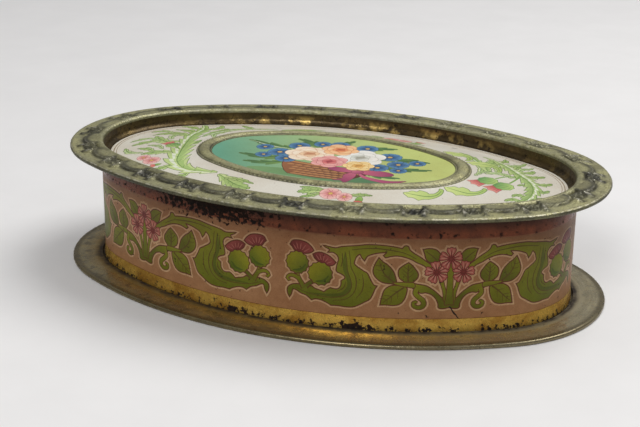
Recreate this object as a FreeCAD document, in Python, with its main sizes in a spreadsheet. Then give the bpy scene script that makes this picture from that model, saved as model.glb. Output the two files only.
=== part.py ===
import FreeCAD, Part
import math
import os

import Sketcher
from FreeCAD import Placement, Rotation, Vector

# A printed tin box of bobbin form: an oval wall between two flanged pressings.
# The base pressing is soldered into the wall, the lid pressing plugs into its mouth.
# Millimetres, +Z up, the long axis of the oval along X.

# Driving sizes
SIZES = {
    "wall_half_length": 90.0,
    "wall_half_width": 52.0,
    "wall_end_radius": 36.0,
    "sheet_thick": 0.35,
    "wire_radius": 0.4,
    "wire_gap": 0.1,
    "mouth_level": 45.25,
    "foot_depth": 0.35,
    "lap_half": 2.5,
    "lap_low": 9.0,
    "lap_high": 37.0,
    "solder_leg": 0.6,
    "solder_gap": 0.03,
    "solder_dip": 0.1,
    "base_overhang": 12.5,
    "base_fit_gap": 0.15,
    "groove_radius": 0.9,
    "floor_height": 5.0,
    "rim_flat": 0.06,
    "press_radius": 0.6,
    "press_datum": 10.0,
    "lid_overhang": 11.5,
    "lid_clearance": 0.25,
    "reed_distance": 4.6,
    "reed_half_width": 2.2,
    "reed_height": 1.1,
    "recess_depth": 4.6,
    "recess_radius": 2.4,
    "panel_inset": 8.0,
    "panel_lap": 0.5,
    "dome_rise": 2.9,
    "shoulder_rise": 1.8,
    "medal_half_length": 49.1,
    "medal_half_width": 29.1,
    "medal_end_radius": 20.4,
    "frame_half_width": 2.5,
    "frame_height": 1.1,
    "frame_root": 0.45,
}

# Sizes that follow from the driving ones
RULES = {
    "wall_inside": "wall_half_length - sheet_thick",
    "curl_inside": "wire_radius + wire_gap",
    "curl_radius": "curl_inside + sheet_thick",
    "flange_top": "press_datum + sheet_thick",
    "curl_level": "flange_top - curl_radius",
    "mouth_x": "wall_half_length + curl_inside",
    "mouth_curl_in": "mouth_level - curl_inside",
    "mouth_curl_out": "mouth_level - curl_radius",
    "foot_level": "2 * curl_radius - rim_flat",
    "foot_edge": "foot_level - foot_depth",
    "lap_left": "-lap_half",
    "lap_face": "wall_half_width - 2 * sheet_thick",
    "lap_root": "wall_half_width - sheet_thick / 2",
    "seam_x": "lap_half + solder_gap",
    "seam_end_x": "seam_x + solder_leg",
    "seam_y": "wall_half_width - sheet_thick - 3 * solder_gap",
    "rim_level": "curl_level - curl_radius + rim_flat",
    "rim_flat_half": "sqrt(curl_radius ^ 2 - (curl_radius - rim_flat) ^ 2)",
    "base_curl_x": "wall_half_length + base_overhang - curl_radius",
    "base_curl_end": "base_curl_x - curl_radius",
    "base_curl_lip": "base_curl_x - curl_inside",
    "rim_flat_out": "base_curl_x + rim_flat_half",
    "rim_flat_in": "base_curl_x - rim_flat_half",
    "base_plug_face": "wall_inside - base_fit_gap",
    "base_plug_back": "base_plug_face - sheet_thick",
    "groove_x": "base_plug_face + groove_radius",
    "groove_under": "groove_radius + sheet_thick",
    "groove_foot": "groove_x + groove_radius",
    "groove_foot_under": "groove_x + sqrt(groove_under ^ 2 - sheet_thick ^ 2)",
    "floor_top": "flange_top + floor_height",
    "floor_under": "floor_top - sheet_thick",
    "floor_turn": "floor_under - press_radius",
    "floor_turn_x": "base_plug_back - press_radius",
    "run_radius": "press_radius + sheet_thick + solder_gap",
    "run_face": "wall_inside - solder_gap",
    "run_foot": "floor_turn_x + run_radius",
    "run_top": "floor_turn + run_radius - solder_dip",
    "run_top_x": "floor_turn_x + sqrt(run_radius ^ 2 - (run_radius - solder_dip) ^ 2)",
    "bead_inside": "curl_radius + lid_clearance",
    "bead_outside": "bead_inside + sheet_thick",
    "plug_face": "mouth_x - bead_inside",
    "recess_face": "mouth_x - bead_outside",
    "bead_foot": "mouth_x + sqrt(bead_outside ^ 2 - sheet_thick ^ 2)",
    "bead_foot_under": "mouth_x + bead_inside",
    "reed_x": "wall_half_length + reed_distance",
    "reed_radius": "(reed_half_width ^ 2 + reed_height ^ 2) / (2 * reed_height)",
    "reed_centre": "flange_top + reed_height - reed_radius",
    "reed_in": "reed_x - reed_half_width",
    "reed_out": "reed_x + reed_half_width",
    "reed_half_under": "sqrt((reed_radius - sheet_thick) ^ 2"
    " - (reed_radius - reed_height - sheet_thick) ^ 2)",
    "reed_in_under": "reed_x - reed_half_under",
    "reed_out_under": "reed_x + reed_half_under",
    "lid_curl_x": "wall_half_length + lid_overhang - curl_radius",
    "lid_curl_end": "lid_curl_x - curl_radius",
    "lid_curl_lip": "lid_curl_x - curl_inside",
    "panel_top": "flange_top - recess_depth",
    "panel_under": "panel_top - sheet_thick",
    "lid_turn": "panel_top + recess_radius",
    "lid_turn_x": "recess_face - recess_radius",
    "panel_half_length": "wall_half_length - panel_inset",
    "panel_half_width": "wall_half_width - panel_inset",
    "panel_end_radius": "wall_end_radius - panel_inset",
    "plate_half_length": "panel_half_length + panel_lap",
    "plate_half_width": "panel_half_width + panel_lap",
    "plate_end_radius": "panel_end_radius + panel_lap",
    "dome_half_length": "(panel_half_length + medal_half_length) / 2",
    "dome_half_width": "(panel_half_width + medal_half_width) / 2",
    "dome_end_radius": "(panel_end_radius + medal_end_radius) / 2",
    "dome_level": "panel_top + shoulder_rise",
    "dome_level_under": "dome_level - sheet_thick",
    "medal_top": "panel_top + dome_rise",
    "medal_under": "medal_top - sheet_thick",
    "frame_radius": "(frame_half_width ^ 2 + frame_height ^ 2) / (2 * frame_height)",
    "frame_centre": "medal_top + frame_height - frame_radius",
    "frame_in": "medal_half_length - frame_half_width",
    "frame_out": "medal_half_length + frame_half_width",
    "frame_low": "medal_top - frame_root",
    "hollow_half": "frame_half_width - sheet_thick",
    "hollow_radius": "frame_radius - sheet_thick",
    "hollow_in": "medal_half_length - hollow_half",
    "hollow_out": "medal_half_length + hollow_half",
    "hollow_spring": "frame_centre + sqrt(hollow_radius ^ 2 - hollow_half ^ 2)",
    "hollow_low": "frame_low - sheet_thick - frame_root",
}

# Each oval is four tangent arcs; the radius of its long sides follows from the other sizes
for oval_name in ("wall", "panel", "plate", "dome", "medal"):
    half_length = oval_name + "_half_length"
    half_width = oval_name + "_half_width"
    end_radius = oval_name + "_end_radius"
    RULES[oval_name + "_side_radius"] = (
        f"({half_length} ^ 2 - 2 * {half_length} * {end_radius} + {half_width} ^ 2)"
        f" / (2 * ({half_width} - {end_radius}))"
    )

doc = FreeCAD.newDocument("bobbin_box")
sheet = doc.addObject("Spreadsheet::Sheet", "sizes")
row = 0
for alias, number in SIZES.items():
    row += 1
    sheet.set(f"A{row}", alias)
    sheet.set(f"B{row}", str(number))
    sheet.setAlias(f"B{row}", alias)
for alias, rule in RULES.items():
    row += 1
    sheet.set(f"A{row}", alias)
    sheet.set(f"B{row}", "=" + rule)
    sheet.setAlias(f"B{row}", alias)
doc.recompute()


def size(alias):
    """The present value of a size on the sheet."""
    return float(sheet.get(alias))


def new_body(label, level=None):
    """An empty body; level is the rule for the height at which it is put in place."""
    body = doc.addObject("PartDesign::Body", label)
    body.Label = label
    if level:
        body.setExpression("Placement.Base.z", level)
    return body


def sketch_on(body, role, name, level=None):
    """A sketch on one of the body's own planes, raised to a level of the sheet."""
    plane = [item for item in body.Origin.OriginFeatures if item.Role == role][0]
    sketch = body.newObject("Sketcher::SketchObject", name)
    sketch.AttachmentSupport = [(plane, "")]
    sketch.MapMode = "FlatFace"
    if level:
        sketch.AttachmentOffset = Placement(Vector(0, 0, size(level)), Rotation())
        sketch.setExpression("AttachmentOffset.Base.z", "sizes." + level)
    return sketch


def bind(sketch, kind, where, alias):
    """A dimension of the sketch that reads its value from the sheet."""
    index = sketch.addConstraint(Sketcher.Constraint(kind, *where, size(alias)))
    sketch.setExpression(f"Constraints[{index}]", "sizes." + alias)


def oval_sketch(body, name, oval, level=None):
    """An oval of four tangent arcs, opened on the long axis so that a sweep can start there."""
    sketch = sketch_on(body, "XY_Plane", name, level)
    length = size(oval + "_half_length")
    end = size(oval + "_end_radius")
    side = size(oval + "_side_radius")
    reach = length - end
    sink = side - size(oval + "_half_width")
    turn = math.atan2(sink, reach)
    arcs = (
        (reach, 0, end, 0, turn),
        (0, -sink, side, turn, math.pi - turn),
        (-reach, 0, end, math.pi - turn, math.pi + turn),
        (0, sink, side, math.pi + turn, 2 * math.pi - turn),
        (reach, 0, end, 2 * math.pi - turn, 2 * math.pi),
    )
    for x, y, radius, start, stop in arcs:
        circle = Part.Circle(Vector(x, y, 0), Vector(0, 0, 1), radius)
        sketch.addGeometry(Part.ArcOfCircle(circle, start, stop), False)
    for arc in range(len(arcs) - 1):
        sketch.addConstraint(Sketcher.Constraint("Tangent", arc, 2, arc + 1, 1))
    sketch.addConstraint(Sketcher.Constraint("Coincident", 4, 2, 0, 1))
    sketch.addConstraint(Sketcher.Constraint("Coincident", 4, 3, 0, 3))
    sketch.addConstraint(Sketcher.Constraint("PointOnObject", 0, 1, -1))
    sketch.addConstraint(Sketcher.Constraint("PointOnObject", 0, 3, -1))
    sketch.addConstraint(Sketcher.Constraint("PointOnObject", 1, 3, -2))
    sketch.addConstraint(Sketcher.Constraint("PointOnObject", 3, 3, -2))
    sketch.addConstraint(Sketcher.Constraint("Equal", 0, 2))
    sketch.addConstraint(Sketcher.Constraint("Equal", 1, 3))
    bind(sketch, "DistanceX", (-1, 1, 0, 1), oval + "_half_length")
    bind(sketch, "Radius", (0,), oval + "_end_radius")
    bind(sketch, "Radius", (1,), oval + "_side_radius")
    return sketch


def outline(sketch, corners):
    """A closed outline. A corner is (x, y) or, where an arc leads to it, (x, y, centre x,
    centre y, turn), all sizes of the sheet; turn is 1 for an arc against the clock."""
    ends = []
    for number, corner in enumerate(corners):
        before = corners[number - 1]
        start = Vector(size(before[0]), size(before[1]), 0)
        stop = Vector(size(corner[0]), size(corner[1]), 0)
        if len(corner) == 2:
            sketch.addGeometry(Part.LineSegment(start, stop), False)
            ends.append((1, 2))
            continue
        centre = Vector(size(corner[2]), size(corner[3]), 0)
        circle = Part.Circle(centre, Vector(0, 0, 1), (start - centre).Length)
        first, last = (start, stop) if corner[4] > 0 else (stop, start)
        begin = math.atan2(first.y - centre.y, first.x - centre.x)
        finish = math.atan2(last.y - centre.y, last.x - centre.x)
        while finish <= begin:
            finish += 2 * math.pi
        sketch.addGeometry(Part.ArcOfCircle(circle, begin, finish), False)
        ends.append((1, 2) if corner[4] > 0 else (2, 1))
    for number, corner in enumerate(corners):
        after = (number + 1) % len(corners)
        sketch.addConstraint(
            Sketcher.Constraint("Coincident", number, ends[number][1], after, ends[after][0])
        )
        bind(sketch, "DistanceX", (-1, 1, number, ends[number][1]), corner[0])
        bind(sketch, "DistanceY", (-1, 1, number, ends[number][1]), corner[1])
        if len(corner) > 2:
            before = corners[number - 1]
            across = abs(size(corner[0]) - size(before[0]))
            upright = abs(size(corner[1]) - size(before[1]))
            if upright > across:
                bind(sketch, "DistanceX", (-1, 1, number, 3), corner[2])
            else:
                bind(sketch, "DistanceY", (-1, 1, number, 3), corner[3])


def sweep(body, name, corners, oval, kind="AdditivePipe", level=None):
    """A section carried once round an oval."""
    path = oval_sketch(body, name + "_path", oval, level)
    section = sketch_on(body, "XZ_Plane", name + "_section")
    outline(section, corners)
    return pipe(body, name, section, path, kind)


def pipe(body, name, section, path, kind="AdditivePipe"):
    """A sketched section swept along a sketched path."""
    doc.recompute()
    feature = body.newObject("PartDesign::" + kind, name)
    feature.Profile = section
    feature.Spine = path
    doc.recompute()
    return feature


def wire_ring(label, x, z, level=None):
    """A round wire bent to the oval, butted end to end."""
    body = new_body(label, level)
    path = oval_sketch(body, label + "_path", "wall")
    section = sketch_on(body, "XZ_Plane", label + "_section")
    circle = Part.Circle(Vector(size(x), size(z), 0), Vector(0, 0, 1), size("wire_radius"))
    section.addGeometry(circle, False)
    bind(section, "Radius", (0,), "wire_radius")
    bind(section, "DistanceX", (-1, 1, 0, 3), x)
    bind(section, "DistanceY", (-1, 1, 0, 3), z)
    pipe(body, label + "_bend", section, path)
    return body


def pad(body, name, sketch, rule):
    """A sketch thickened upwards by a rule of the sheet."""
    feature = body.newObject("PartDesign::Pad", name)
    feature.Profile = sketch
    feature.setExpression("Length", rule)
    doc.recompute()
    return feature


def loft(body, name, sections, kind):
    """A form drawn straight from each oval to the next."""
    sketches = [oval_sketch(body, f"{name}_{oval}", oval, level) for oval, level in sections]
    doc.recompute()
    feature = body.newObject("PartDesign::" + kind, name)
    feature.Profile = sketches[0]
    feature.Sections = sketches[1:]
    feature.Ruled = True
    doc.recompute()
    return feature


# Wall: one strip bent to the oval, its mouth curled outward over a wire
wall = new_body("body_wall")
sweep(
    wall,
    "wall_strip",
    (
        ("wall_half_length", "foot_edge"),
        ("wall_half_length", "mouth_level"),
        ("mouth_x", "mouth_curl_in", "mouth_x", "mouth_level", -1),
        ("mouth_x", "mouth_curl_out"),
        ("wall_inside", "mouth_level", "mouth_x", "mouth_level", 1),
        ("wall_inside", "foot_edge"),
    ),
    "wall",
)

# The two ends of the strip lap at the back; the inner end stops clear of both pressings
lap_sketch = sketch_on(wall, "XY_Plane", "lap_outline", "lap_low")
outline(
    lap_sketch,
    (
        ("lap_left", "lap_face"),
        ("lap_half", "lap_face"),
        ("lap_half", "lap_root"),
        ("lap_left", "lap_root"),
    ),
)
pad(wall, "lap", lap_sketch, "sizes.lap_high - sizes.lap_low")

mouth_wire = wire_ring("mouth_wire", "mouth_x", "mouth_level")

# Solder run along the edge of the lap
seam = new_body("seam_solder")
seam_sketch = sketch_on(seam, "XY_Plane", "seam_section", "lap_low")
outline(seam_sketch, (("seam_x", "lap_face"), ("seam_end_x", "seam_y"), ("seam_x", "seam_y")))
pad(seam, "seam_run", seam_sketch, "sizes.lap_high - sizes.lap_low")

# Base: flange with a curled edge, a groove for the foot of the wall, a plug and a floor
base_height = "-sizes.rim_level"
base = new_body("base_pan", base_height)
sweep(
    base,
    "base_rim",
    (
        ("panel_half_length", "floor_top"),
        ("floor_turn_x", "floor_top"),
        ("base_plug_face", "floor_turn", "floor_turn_x", "floor_turn", -1),
        ("base_plug_face", "flange_top"),
        ("groove_foot", "flange_top", "groove_x", "flange_top", 1),
        ("base_curl_x", "flange_top"),
        ("rim_flat_out", "rim_level", "base_curl_x", "curl_level", -1),
        ("rim_flat_in", "rim_level"),
        ("base_curl_end", "curl_level", "base_curl_x", "curl_level", -1),
        ("base_curl_lip", "curl_level"),
        ("base_curl_x", "press_datum", "base_curl_x", "curl_level", 1),
        ("groove_foot_under", "press_datum"),
        ("base_plug_back", "flange_top", "groove_x", "flange_top", -1),
        ("base_plug_back", "floor_turn"),
        ("floor_turn_x", "floor_under", "floor_turn_x", "floor_turn", 1),
        ("panel_half_length", "floor_under"),
    ),
    "wall",
)
floor_sketch = oval_sketch(base, "floor_outline", "plate", "floor_under")
pad(base, "floor", floor_sketch, "sizes.sheet_thick")

base_wire = wire_ring("base_rim_wire", "base_curl_x", "curl_level", base_height)

# Solder run in the corner between the wall and the base plug
base_run = new_body("base_solder", base_height)
sweep(
    base_run,
    "base_run",
    (
        ("run_face", "floor_turn"),
        ("run_face", "run_top"),
        ("run_top_x", "run_top"),
        ("run_foot", "floor_turn", "floor_turn_x", "floor_turn", -1),
    ),
    "wall",
)

# Lid: curled edge, raised reed, bead over the mouth, plug and sunk panel, all one pressing
lid_height = "sizes.mouth_level - sizes.press_datum"
lid = new_body("lid_pan", lid_height)
sweep(
    lid,
    "lid_rim",
    (
        ("panel_half_length", "panel_top"),
        ("lid_turn_x", "panel_top"),
        ("recess_face", "lid_turn", "lid_turn_x", "lid_turn", 1),
        ("recess_face", "press_datum"),
        ("bead_foot", "flange_top", "mouth_x", "press_datum", -1),
        ("reed_in", "flange_top"),
        ("reed_out", "flange_top", "reed_x", "reed_centre", -1),
        ("lid_curl_x", "flange_top"),
        ("lid_curl_end", "curl_level", "lid_curl_x", "curl_level", -1),
        ("lid_curl_lip", "curl_level"),
        ("lid_curl_x", "press_datum", "lid_curl_x", "curl_level", 1),
        ("reed_out_under", "press_datum"),
        ("reed_in_under", "press_datum", "reed_x", "reed_centre", 1),
        ("bead_foot_under", "press_datum"),
        ("plug_face", "press_datum", "mouth_x", "press_datum", 1),
        ("plug_face", "lid_turn"),
        ("lid_turn_x", "panel_under", "lid_turn_x", "lid_turn", -1),
        ("panel_half_length", "panel_under"),
    ),
    "wall",
)
plate_sketch = oval_sketch(lid, "plate_outline", "plate", "panel_under")
pad(lid, "plate", plate_sketch, "sizes.sheet_thick")

# The panel swells towards a flat oval medallion
dome_top = (("panel", "panel_top"), ("dome", "dome_level"), ("medal", "medal_top"))
dome_under = (("panel", "panel_under"), ("dome", "dome_level_under"), ("medal", "medal_under"))
loft(lid, "swell", dome_top, "AdditiveLoft")
loft(lid, "swell_hollow", dome_under, "SubtractiveLoft")

# A raised half-round frame is pressed round the medallion, hollow below
sweep(
    lid,
    "frame",
    (
        ("frame_in", "frame_low"),
        ("frame_in", "medal_top"),
        ("frame_out", "medal_top", "medal_half_length", "frame_centre", -1),
        ("frame_out", "frame_low"),
    ),
    "medal",
)
sweep(
    lid,
    "frame_hollow",
    (
        ("hollow_in", "hollow_low"),
        ("hollow_in", "hollow_spring"),
        ("hollow_out", "hollow_spring", "medal_half_length", "frame_centre", -1),
        ("hollow_out", "hollow_low"),
    ),
    "medal",
    "SubtractivePipe",
)

lid_wire = wire_ring("lid_rim_wire", "lid_curl_x", "curl_level", lid_height)

# Each piece is checked and written to its own file
doc.recompute()
for item in doc.Objects:
    if "Invalid" in item.State or "Error" in item.State:
        raise SystemExit(f"{item.Label}: {item.State} {item.getStatusString()}")
os.makedirs("parts", exist_ok=True)
for body in (wall, mouth_wire, seam, base, base_wire, base_run, lid, lid_wire):
    shape = body.Shape
    if shape.isNull() or not shape.isValid() or len(shape.Solids) != 1:
        raise SystemExit(f"{body.Label}: not one sound solid")
    shape.exportStep(f"parts/{body.Label}.step")
    print(f"{body.Label}: {shape.Volume:.1f} mm3")
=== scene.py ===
import math
import bpy
import numpy as np
from mathutils import Matrix, Vector
from mathutils.geometry import delaunay_2d_cdt


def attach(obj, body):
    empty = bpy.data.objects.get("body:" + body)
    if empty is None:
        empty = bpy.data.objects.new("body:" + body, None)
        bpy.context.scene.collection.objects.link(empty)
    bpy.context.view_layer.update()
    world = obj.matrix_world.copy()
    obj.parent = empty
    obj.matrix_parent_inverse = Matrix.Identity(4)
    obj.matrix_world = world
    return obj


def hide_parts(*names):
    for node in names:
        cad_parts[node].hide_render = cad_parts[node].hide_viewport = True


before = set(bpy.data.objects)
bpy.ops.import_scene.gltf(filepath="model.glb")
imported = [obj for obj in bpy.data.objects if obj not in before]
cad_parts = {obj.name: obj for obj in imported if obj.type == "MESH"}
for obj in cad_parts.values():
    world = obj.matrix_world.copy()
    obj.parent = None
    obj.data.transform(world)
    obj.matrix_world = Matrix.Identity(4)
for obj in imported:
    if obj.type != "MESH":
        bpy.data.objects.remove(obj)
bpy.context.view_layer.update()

# Base pan
# One oval pressing of tinplate, lacquered gold on the side that shows and bare within.
# Its rim is curled down over a wire, and its raised floor plugs the foot of the body strip.


def srgb(red, green, blue):
    """A colour as the eye writes it, 0 to 255, as the shader wants it."""
    parts = [channel / 255.0 for channel in (red, green, blue)]
    return tuple(p / 12.92 if p <= 0.04045 else ((p + 0.055) / 1.055) ** 2.4 for p in parts) + (1.0,)


def put(tree, kind, settings=None, **inputs):
    """Adds a node; each input is joined to another node's output or set to a value.
    at0, at1 and so on name an input by its place."""
    made = tree.nodes.new("ShaderNode" + kind)
    for key, value in (settings or {}).items():
        setattr(made, key, value)
    for key, value in inputs.items():
        socket = made.inputs[int(key[2:])] if key.startswith("at") else made.inputs[key.replace("_", " ")]
        if isinstance(value, bpy.types.NodeSocket):
            tree.links.new(value, socket)
        else:
            socket.default_value = value
    return made


def new_finish(name):
    """A new material, with its tree of nodes, its shader and the place on the piece."""
    made = bpy.data.materials.new(name)
    made.use_nodes = True
    tree = made.node_tree
    place = put(tree, "TexCoord").outputs["Object"]
    return made, tree, tree.nodes["Principled BSDF"], place


def ramp(tree, value, start, end):
    """0 at start, 1 at end, held beyond."""
    return put(tree, "MapRange", Value=value, From_Min=start, From_Max=end).outputs["Result"]


def cloud(tree, place, grain, start, end, detail=4.0):
    """A mask of soft blotches about grain millimetres across."""
    noise = put(tree, "TexNoise", Vector=place, Scale=1000.0 / grain, Detail=detail, Roughness=0.6)
    return ramp(tree, noise.outputs["Fac"], start, end)


def math_of(tree, kind, first, second):
    """A sum on masks, held between 0 and 1."""
    settings = {"operation": kind, "use_clamp": kind in ("ADD", "MULTIPLY", "SUBTRACT")}
    return put(tree, "Math", settings, at0=first, at1=second).outputs[0]


def both(tree, first, second):
    """Where two masks overlap, or one mask made fainter."""
    return math_of(tree, "MULTIPLY", first, second)


def measure(tree, kind, first, second=0.0):
    """A sum on lengths, which may fall below nought."""
    return put(tree, "Math", {"operation": kind}, at0=first, at1=second).outputs[0]


def over(tree, mask, below, above, mode="MIX"):
    """One colour laid over another through a mask."""
    settings = {"data_type": "RGBA", "blend_type": mode}
    return put(tree, "Mix", settings, at0=mask, at6=below, at7=above).outputs[2]


def level(tree, mask, below, above):
    """One number laid over another through a mask."""
    return put(tree, "Mix", {"data_type": "FLOAT"}, at0=mask, at2=below, at3=above).outputs[0]


def join(tree, output, shader, name):
    tree.links.new(output, shader.inputs[name])


def dent(tree, shader, strength, depth, height):
    """Small unevenness of a surface, its depth in metres."""
    bump = put(tree, "Bump", Strength=strength, Distance=depth, Height=height)
    join(tree, bump.outputs["Normal"], shader, "Normal")


def out_of_wall(tree, place):
    """How far a place lies outside the oval line of the body, in metres."""
    end_radius, end_reach = 0.036, 0.054
    side_radius, side_sink = 0.135125, 0.083125
    axes = put(tree, "SeparateXYZ", Vector=place)
    x = measure(tree, "ABSOLUTE", axes.outputs["X"])
    y = measure(tree, "ABSOLUTE", axes.outputs["Y"])
    from_end = measure(tree, "SUBTRACT", x, end_reach)
    from_side = measure(tree, "ADD", y, side_sink)
    end_spot = put(tree, "CombineXYZ", X=from_end, Y=y).outputs[0]
    side_spot = put(tree, "CombineXYZ", X=x, Y=from_side).outputs[0]
    end = put(tree, "VectorMath", {"operation": "LENGTH"}, at0=end_spot).outputs["Value"]
    side = put(tree, "VectorMath", {"operation": "LENGTH"}, at0=side_spot).outputs["Value"]
    end = measure(tree, "SUBTRACT", end, end_radius)
    side = measure(tree, "SUBTRACT", side, side_radius)
    slant = measure(tree, "DIVIDE", from_side, side_sink)
    reach = measure(tree, "DIVIDE", x, end_reach)
    at_end = measure(tree, "GREATER_THAN", reach, slant)
    return level(tree, at_end, side, end)


# dulled gold lacquer, with an amber tint near the wall on the left that is a painted reflection of the gold
# band, a painted grey sheen to the right, and dirt with painted shade at the foot of the wall
base_gilt, tree, shader, place = new_finish("base_gilt")
axes = put(tree, "SeparateXYZ", Vector=place)
height = axes.outputs["Z"]
out = out_of_wall(tree, place)
olive = over(tree, cloud(tree, place, 9.0, 0.38, 0.62), srgb(168, 154, 116), srgb(142, 132, 104))
# painted reflection: the gold band of the wall, mirrored as an amber tint on the flange near the wall, to
# the left
to_left = ramp(tree, axes.outputs["X"], 0.034, -0.010)
gold_band_reflection = both(tree, ramp(tree, out, 0.0085, 0.0030), to_left)
olive = over(tree, gold_band_reflection, olive, srgb(166, 136, 74))
olive = over(tree, cloud(tree, place, 2.2, 0.5, 0.66), olive, srgb(178, 158, 108))
dull = both(tree, cloud(tree, place, 4.5, 0.52, 0.66), 0.7)
olive = over(tree, dull, olive, srgb(112, 100, 74))
outward = put(tree, "CombineXYZ", Z=out).outputs[0]
drawn_out = (0.08, 0.08, 0.0)
brushed = put(tree, "VectorMath", {"operation": "MULTIPLY_ADD"}, at0=place, at1=drawn_out, at2=outward)
streaks = level(tree, cloud(tree, brushed.outputs["Vector"], 0.9, 0.40, 0.60), 0.55, 1.0)
# painted sheen: the flange turns paler grey towards +X, laid in brushed streaks
grey_sheen = both(tree, ramp(tree, axes.outputs["X"], 0.020, 0.062), streaks)
olive = over(tree, grey_sheen, olive, srgb(196, 185, 152))
# painted shade: the rolled-down rim of the flange is darkened
rim = ramp(tree, out, 0.0096, 0.0108)
olive = over(tree, both(tree, rim, 0.7), olive, srgb(104, 92, 64))
bare = over(tree, cloud(tree, place, 14.0, 0.35, 0.65), srgb(176, 174, 166), srgb(150, 144, 130))
inside = ramp(tree, height, 0.0040, 0.0044)
colour = over(tree, inside, olive, bare)
# dirt and painted shade: the flange is darkened in the groove at the foot of the wall
foot_dirt_and_shade = both(tree, ramp(tree, out, 0.0048, 0.0022), ramp(tree, height, 0.0040, 0.0036))
foot_dirt_and_shade = both(tree, foot_dirt_and_shade, level(tree, cloud(tree, place, 2.5, 0.35, 0.6), 0.75, 1.0))
rust = cloud(tree, place, 1.4, 0.64, 0.70)
colour = over(tree, foot_dirt_and_shade, colour, srgb(38, 29, 20))
colour = over(tree, rust, colour, srgb(70, 48, 30))
# the rust and the dirt with painted shade make the flange rougher and less metallic
rust_dirt_and_shade = math_of(tree, "MAXIMUM", foot_dirt_and_shade, rust)
join(tree, colour, shader, "Base Color")
join(tree, level(tree, rust_dirt_and_shade, 0.78, 0.1), shader, "Metallic")
satin = level(tree, cloud(tree, place, 3.0, 0.35, 0.65), 0.2, 0.36)
join(tree, level(tree, rust_dirt_and_shade, satin, 0.8), shader, "Roughness")
dent(tree, shader, 0.3, 0.0002, cloud(tree, place, 2.5, 0.3, 0.7))

base_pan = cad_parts["base_pan"]
for spot in base_pan.material_slots:
    spot.material = base_gilt

# Wires and solder
# Rings of tinned steel wire stiffen the rims of base and lid and the mouth of the body strip.
# Soft solder runs inside, round the plug of the base and down the lap of the strip.

wire_steel, tree, shader, place = new_finish("wire_steel")
colour = over(tree, cloud(tree, place, 3.0, 0.4, 0.62), srgb(158, 156, 150), srgb(120, 112, 100))
join(tree, over(tree, cloud(tree, place, 1.0, 0.6, 0.7), colour, srgb(96, 62, 38)), shader, "Base Color")
shader.inputs["Metallic"].default_value = 0.9
join(tree, level(tree, cloud(tree, place, 2.0, 0.35, 0.65), 0.3, 0.5), shader, "Roughness")
dent(tree, shader, 0.3, 0.0001, cloud(tree, place, 0.8, 0.3, 0.7))

dull_solder, tree, shader, place = new_finish("dull_solder")
colour = over(tree, cloud(tree, place, 2.5, 0.36, 0.64), srgb(168, 168, 166), srgb(122, 121, 118))
join(tree, colour, shader, "Base Color")
shader.inputs["Metallic"].default_value = 0.85
join(tree, level(tree, cloud(tree, place, 1.5, 0.35, 0.65), 0.38, 0.6), shader, "Roughness")
dent(tree, shader, 0.6, 0.0003, cloud(tree, place, 1.8, 0.3, 0.7))

for metal, names in (
    (wire_steel, ("base_rim_wire", "mouth_wire", "lid_rim_wire")),
    (dull_solder, ("base_solder", "seam_solder")),
):
    for name in names:
        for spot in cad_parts[name].material_slots:
            spot.material = metal

# Body wall
# A strip of tinplate printed flat with a frieze of thistles, leaves and blossoms between two gilt
# bands, bent into an oval, lapped and soldered at the back, and curled over a wire round the mouth.
# All lengths of the meshes are in millimetres.

body_oval = (90.0, 52.0, 36.0)
strip_foot = 1.29
foot_flare = 0.5
strip_mouth = 45.25
strip_thick = 0.35
curl_centre = 0.5
curl_inside = 0.5
curl_outside = 0.85
low_band = 5.75
high_band = 34.9
repeats = 8
columns = 24


def side_of(half_length, half_width, end_radius):
    """Radius of the long sides of an oval of four arcs."""
    spread = half_length**2 - 2.0 * half_length * end_radius + half_width**2
    return spread / (2.0 * (half_width - end_radius))


def oval(half_length, half_width, end_radius, along):
    """Points and outward directions on an oval of four arcs.
    along gives lengths from its +X end, anticlockwise."""
    side_radius = side_of(half_length, half_width, end_radius)
    turn = math.atan2(side_radius - half_width, half_length - end_radius)
    quarter = end_radius * turn + side_radius * (math.pi / 2.0 - turn)
    along = np.mod(np.asarray(along, float), 4.0 * quarter)
    which = np.minimum((along / quarter).astype(int), 3)
    part = np.where(which % 2 == 0, along - which * quarter, (which + 1) * quarter - along)
    at_end = part < end_radius * turn
    angle = np.where(at_end, part / end_radius, turn + (part - end_radius * turn) / side_radius)
    radius = np.where(at_end, end_radius, side_radius)
    x = np.where(at_end, half_length - end_radius, 0.0) + radius * np.cos(angle)
    y = np.where(at_end, 0.0, half_width - side_radius) + radius * np.sin(angle)
    flip_x = np.where((which == 1) | (which == 2), -1.0, 1.0)
    flip_y = np.where(which >= 2, -1.0, 1.0)
    points = np.stack([x * flip_x, y * flip_y], 1)
    facing = np.stack([np.cos(angle) * flip_x, np.sin(angle) * flip_y], 1)
    return points, facing


def oval_round(half_length, half_width, end_radius):
    """The whole length round an oval of four arcs."""
    side_radius = side_of(half_length, half_width, end_radius)
    turn = math.atan2(side_radius - half_width, half_length - end_radius)
    return 4.0 * (end_radius * turn + side_radius * (math.pi / 2.0 - turn))


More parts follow.
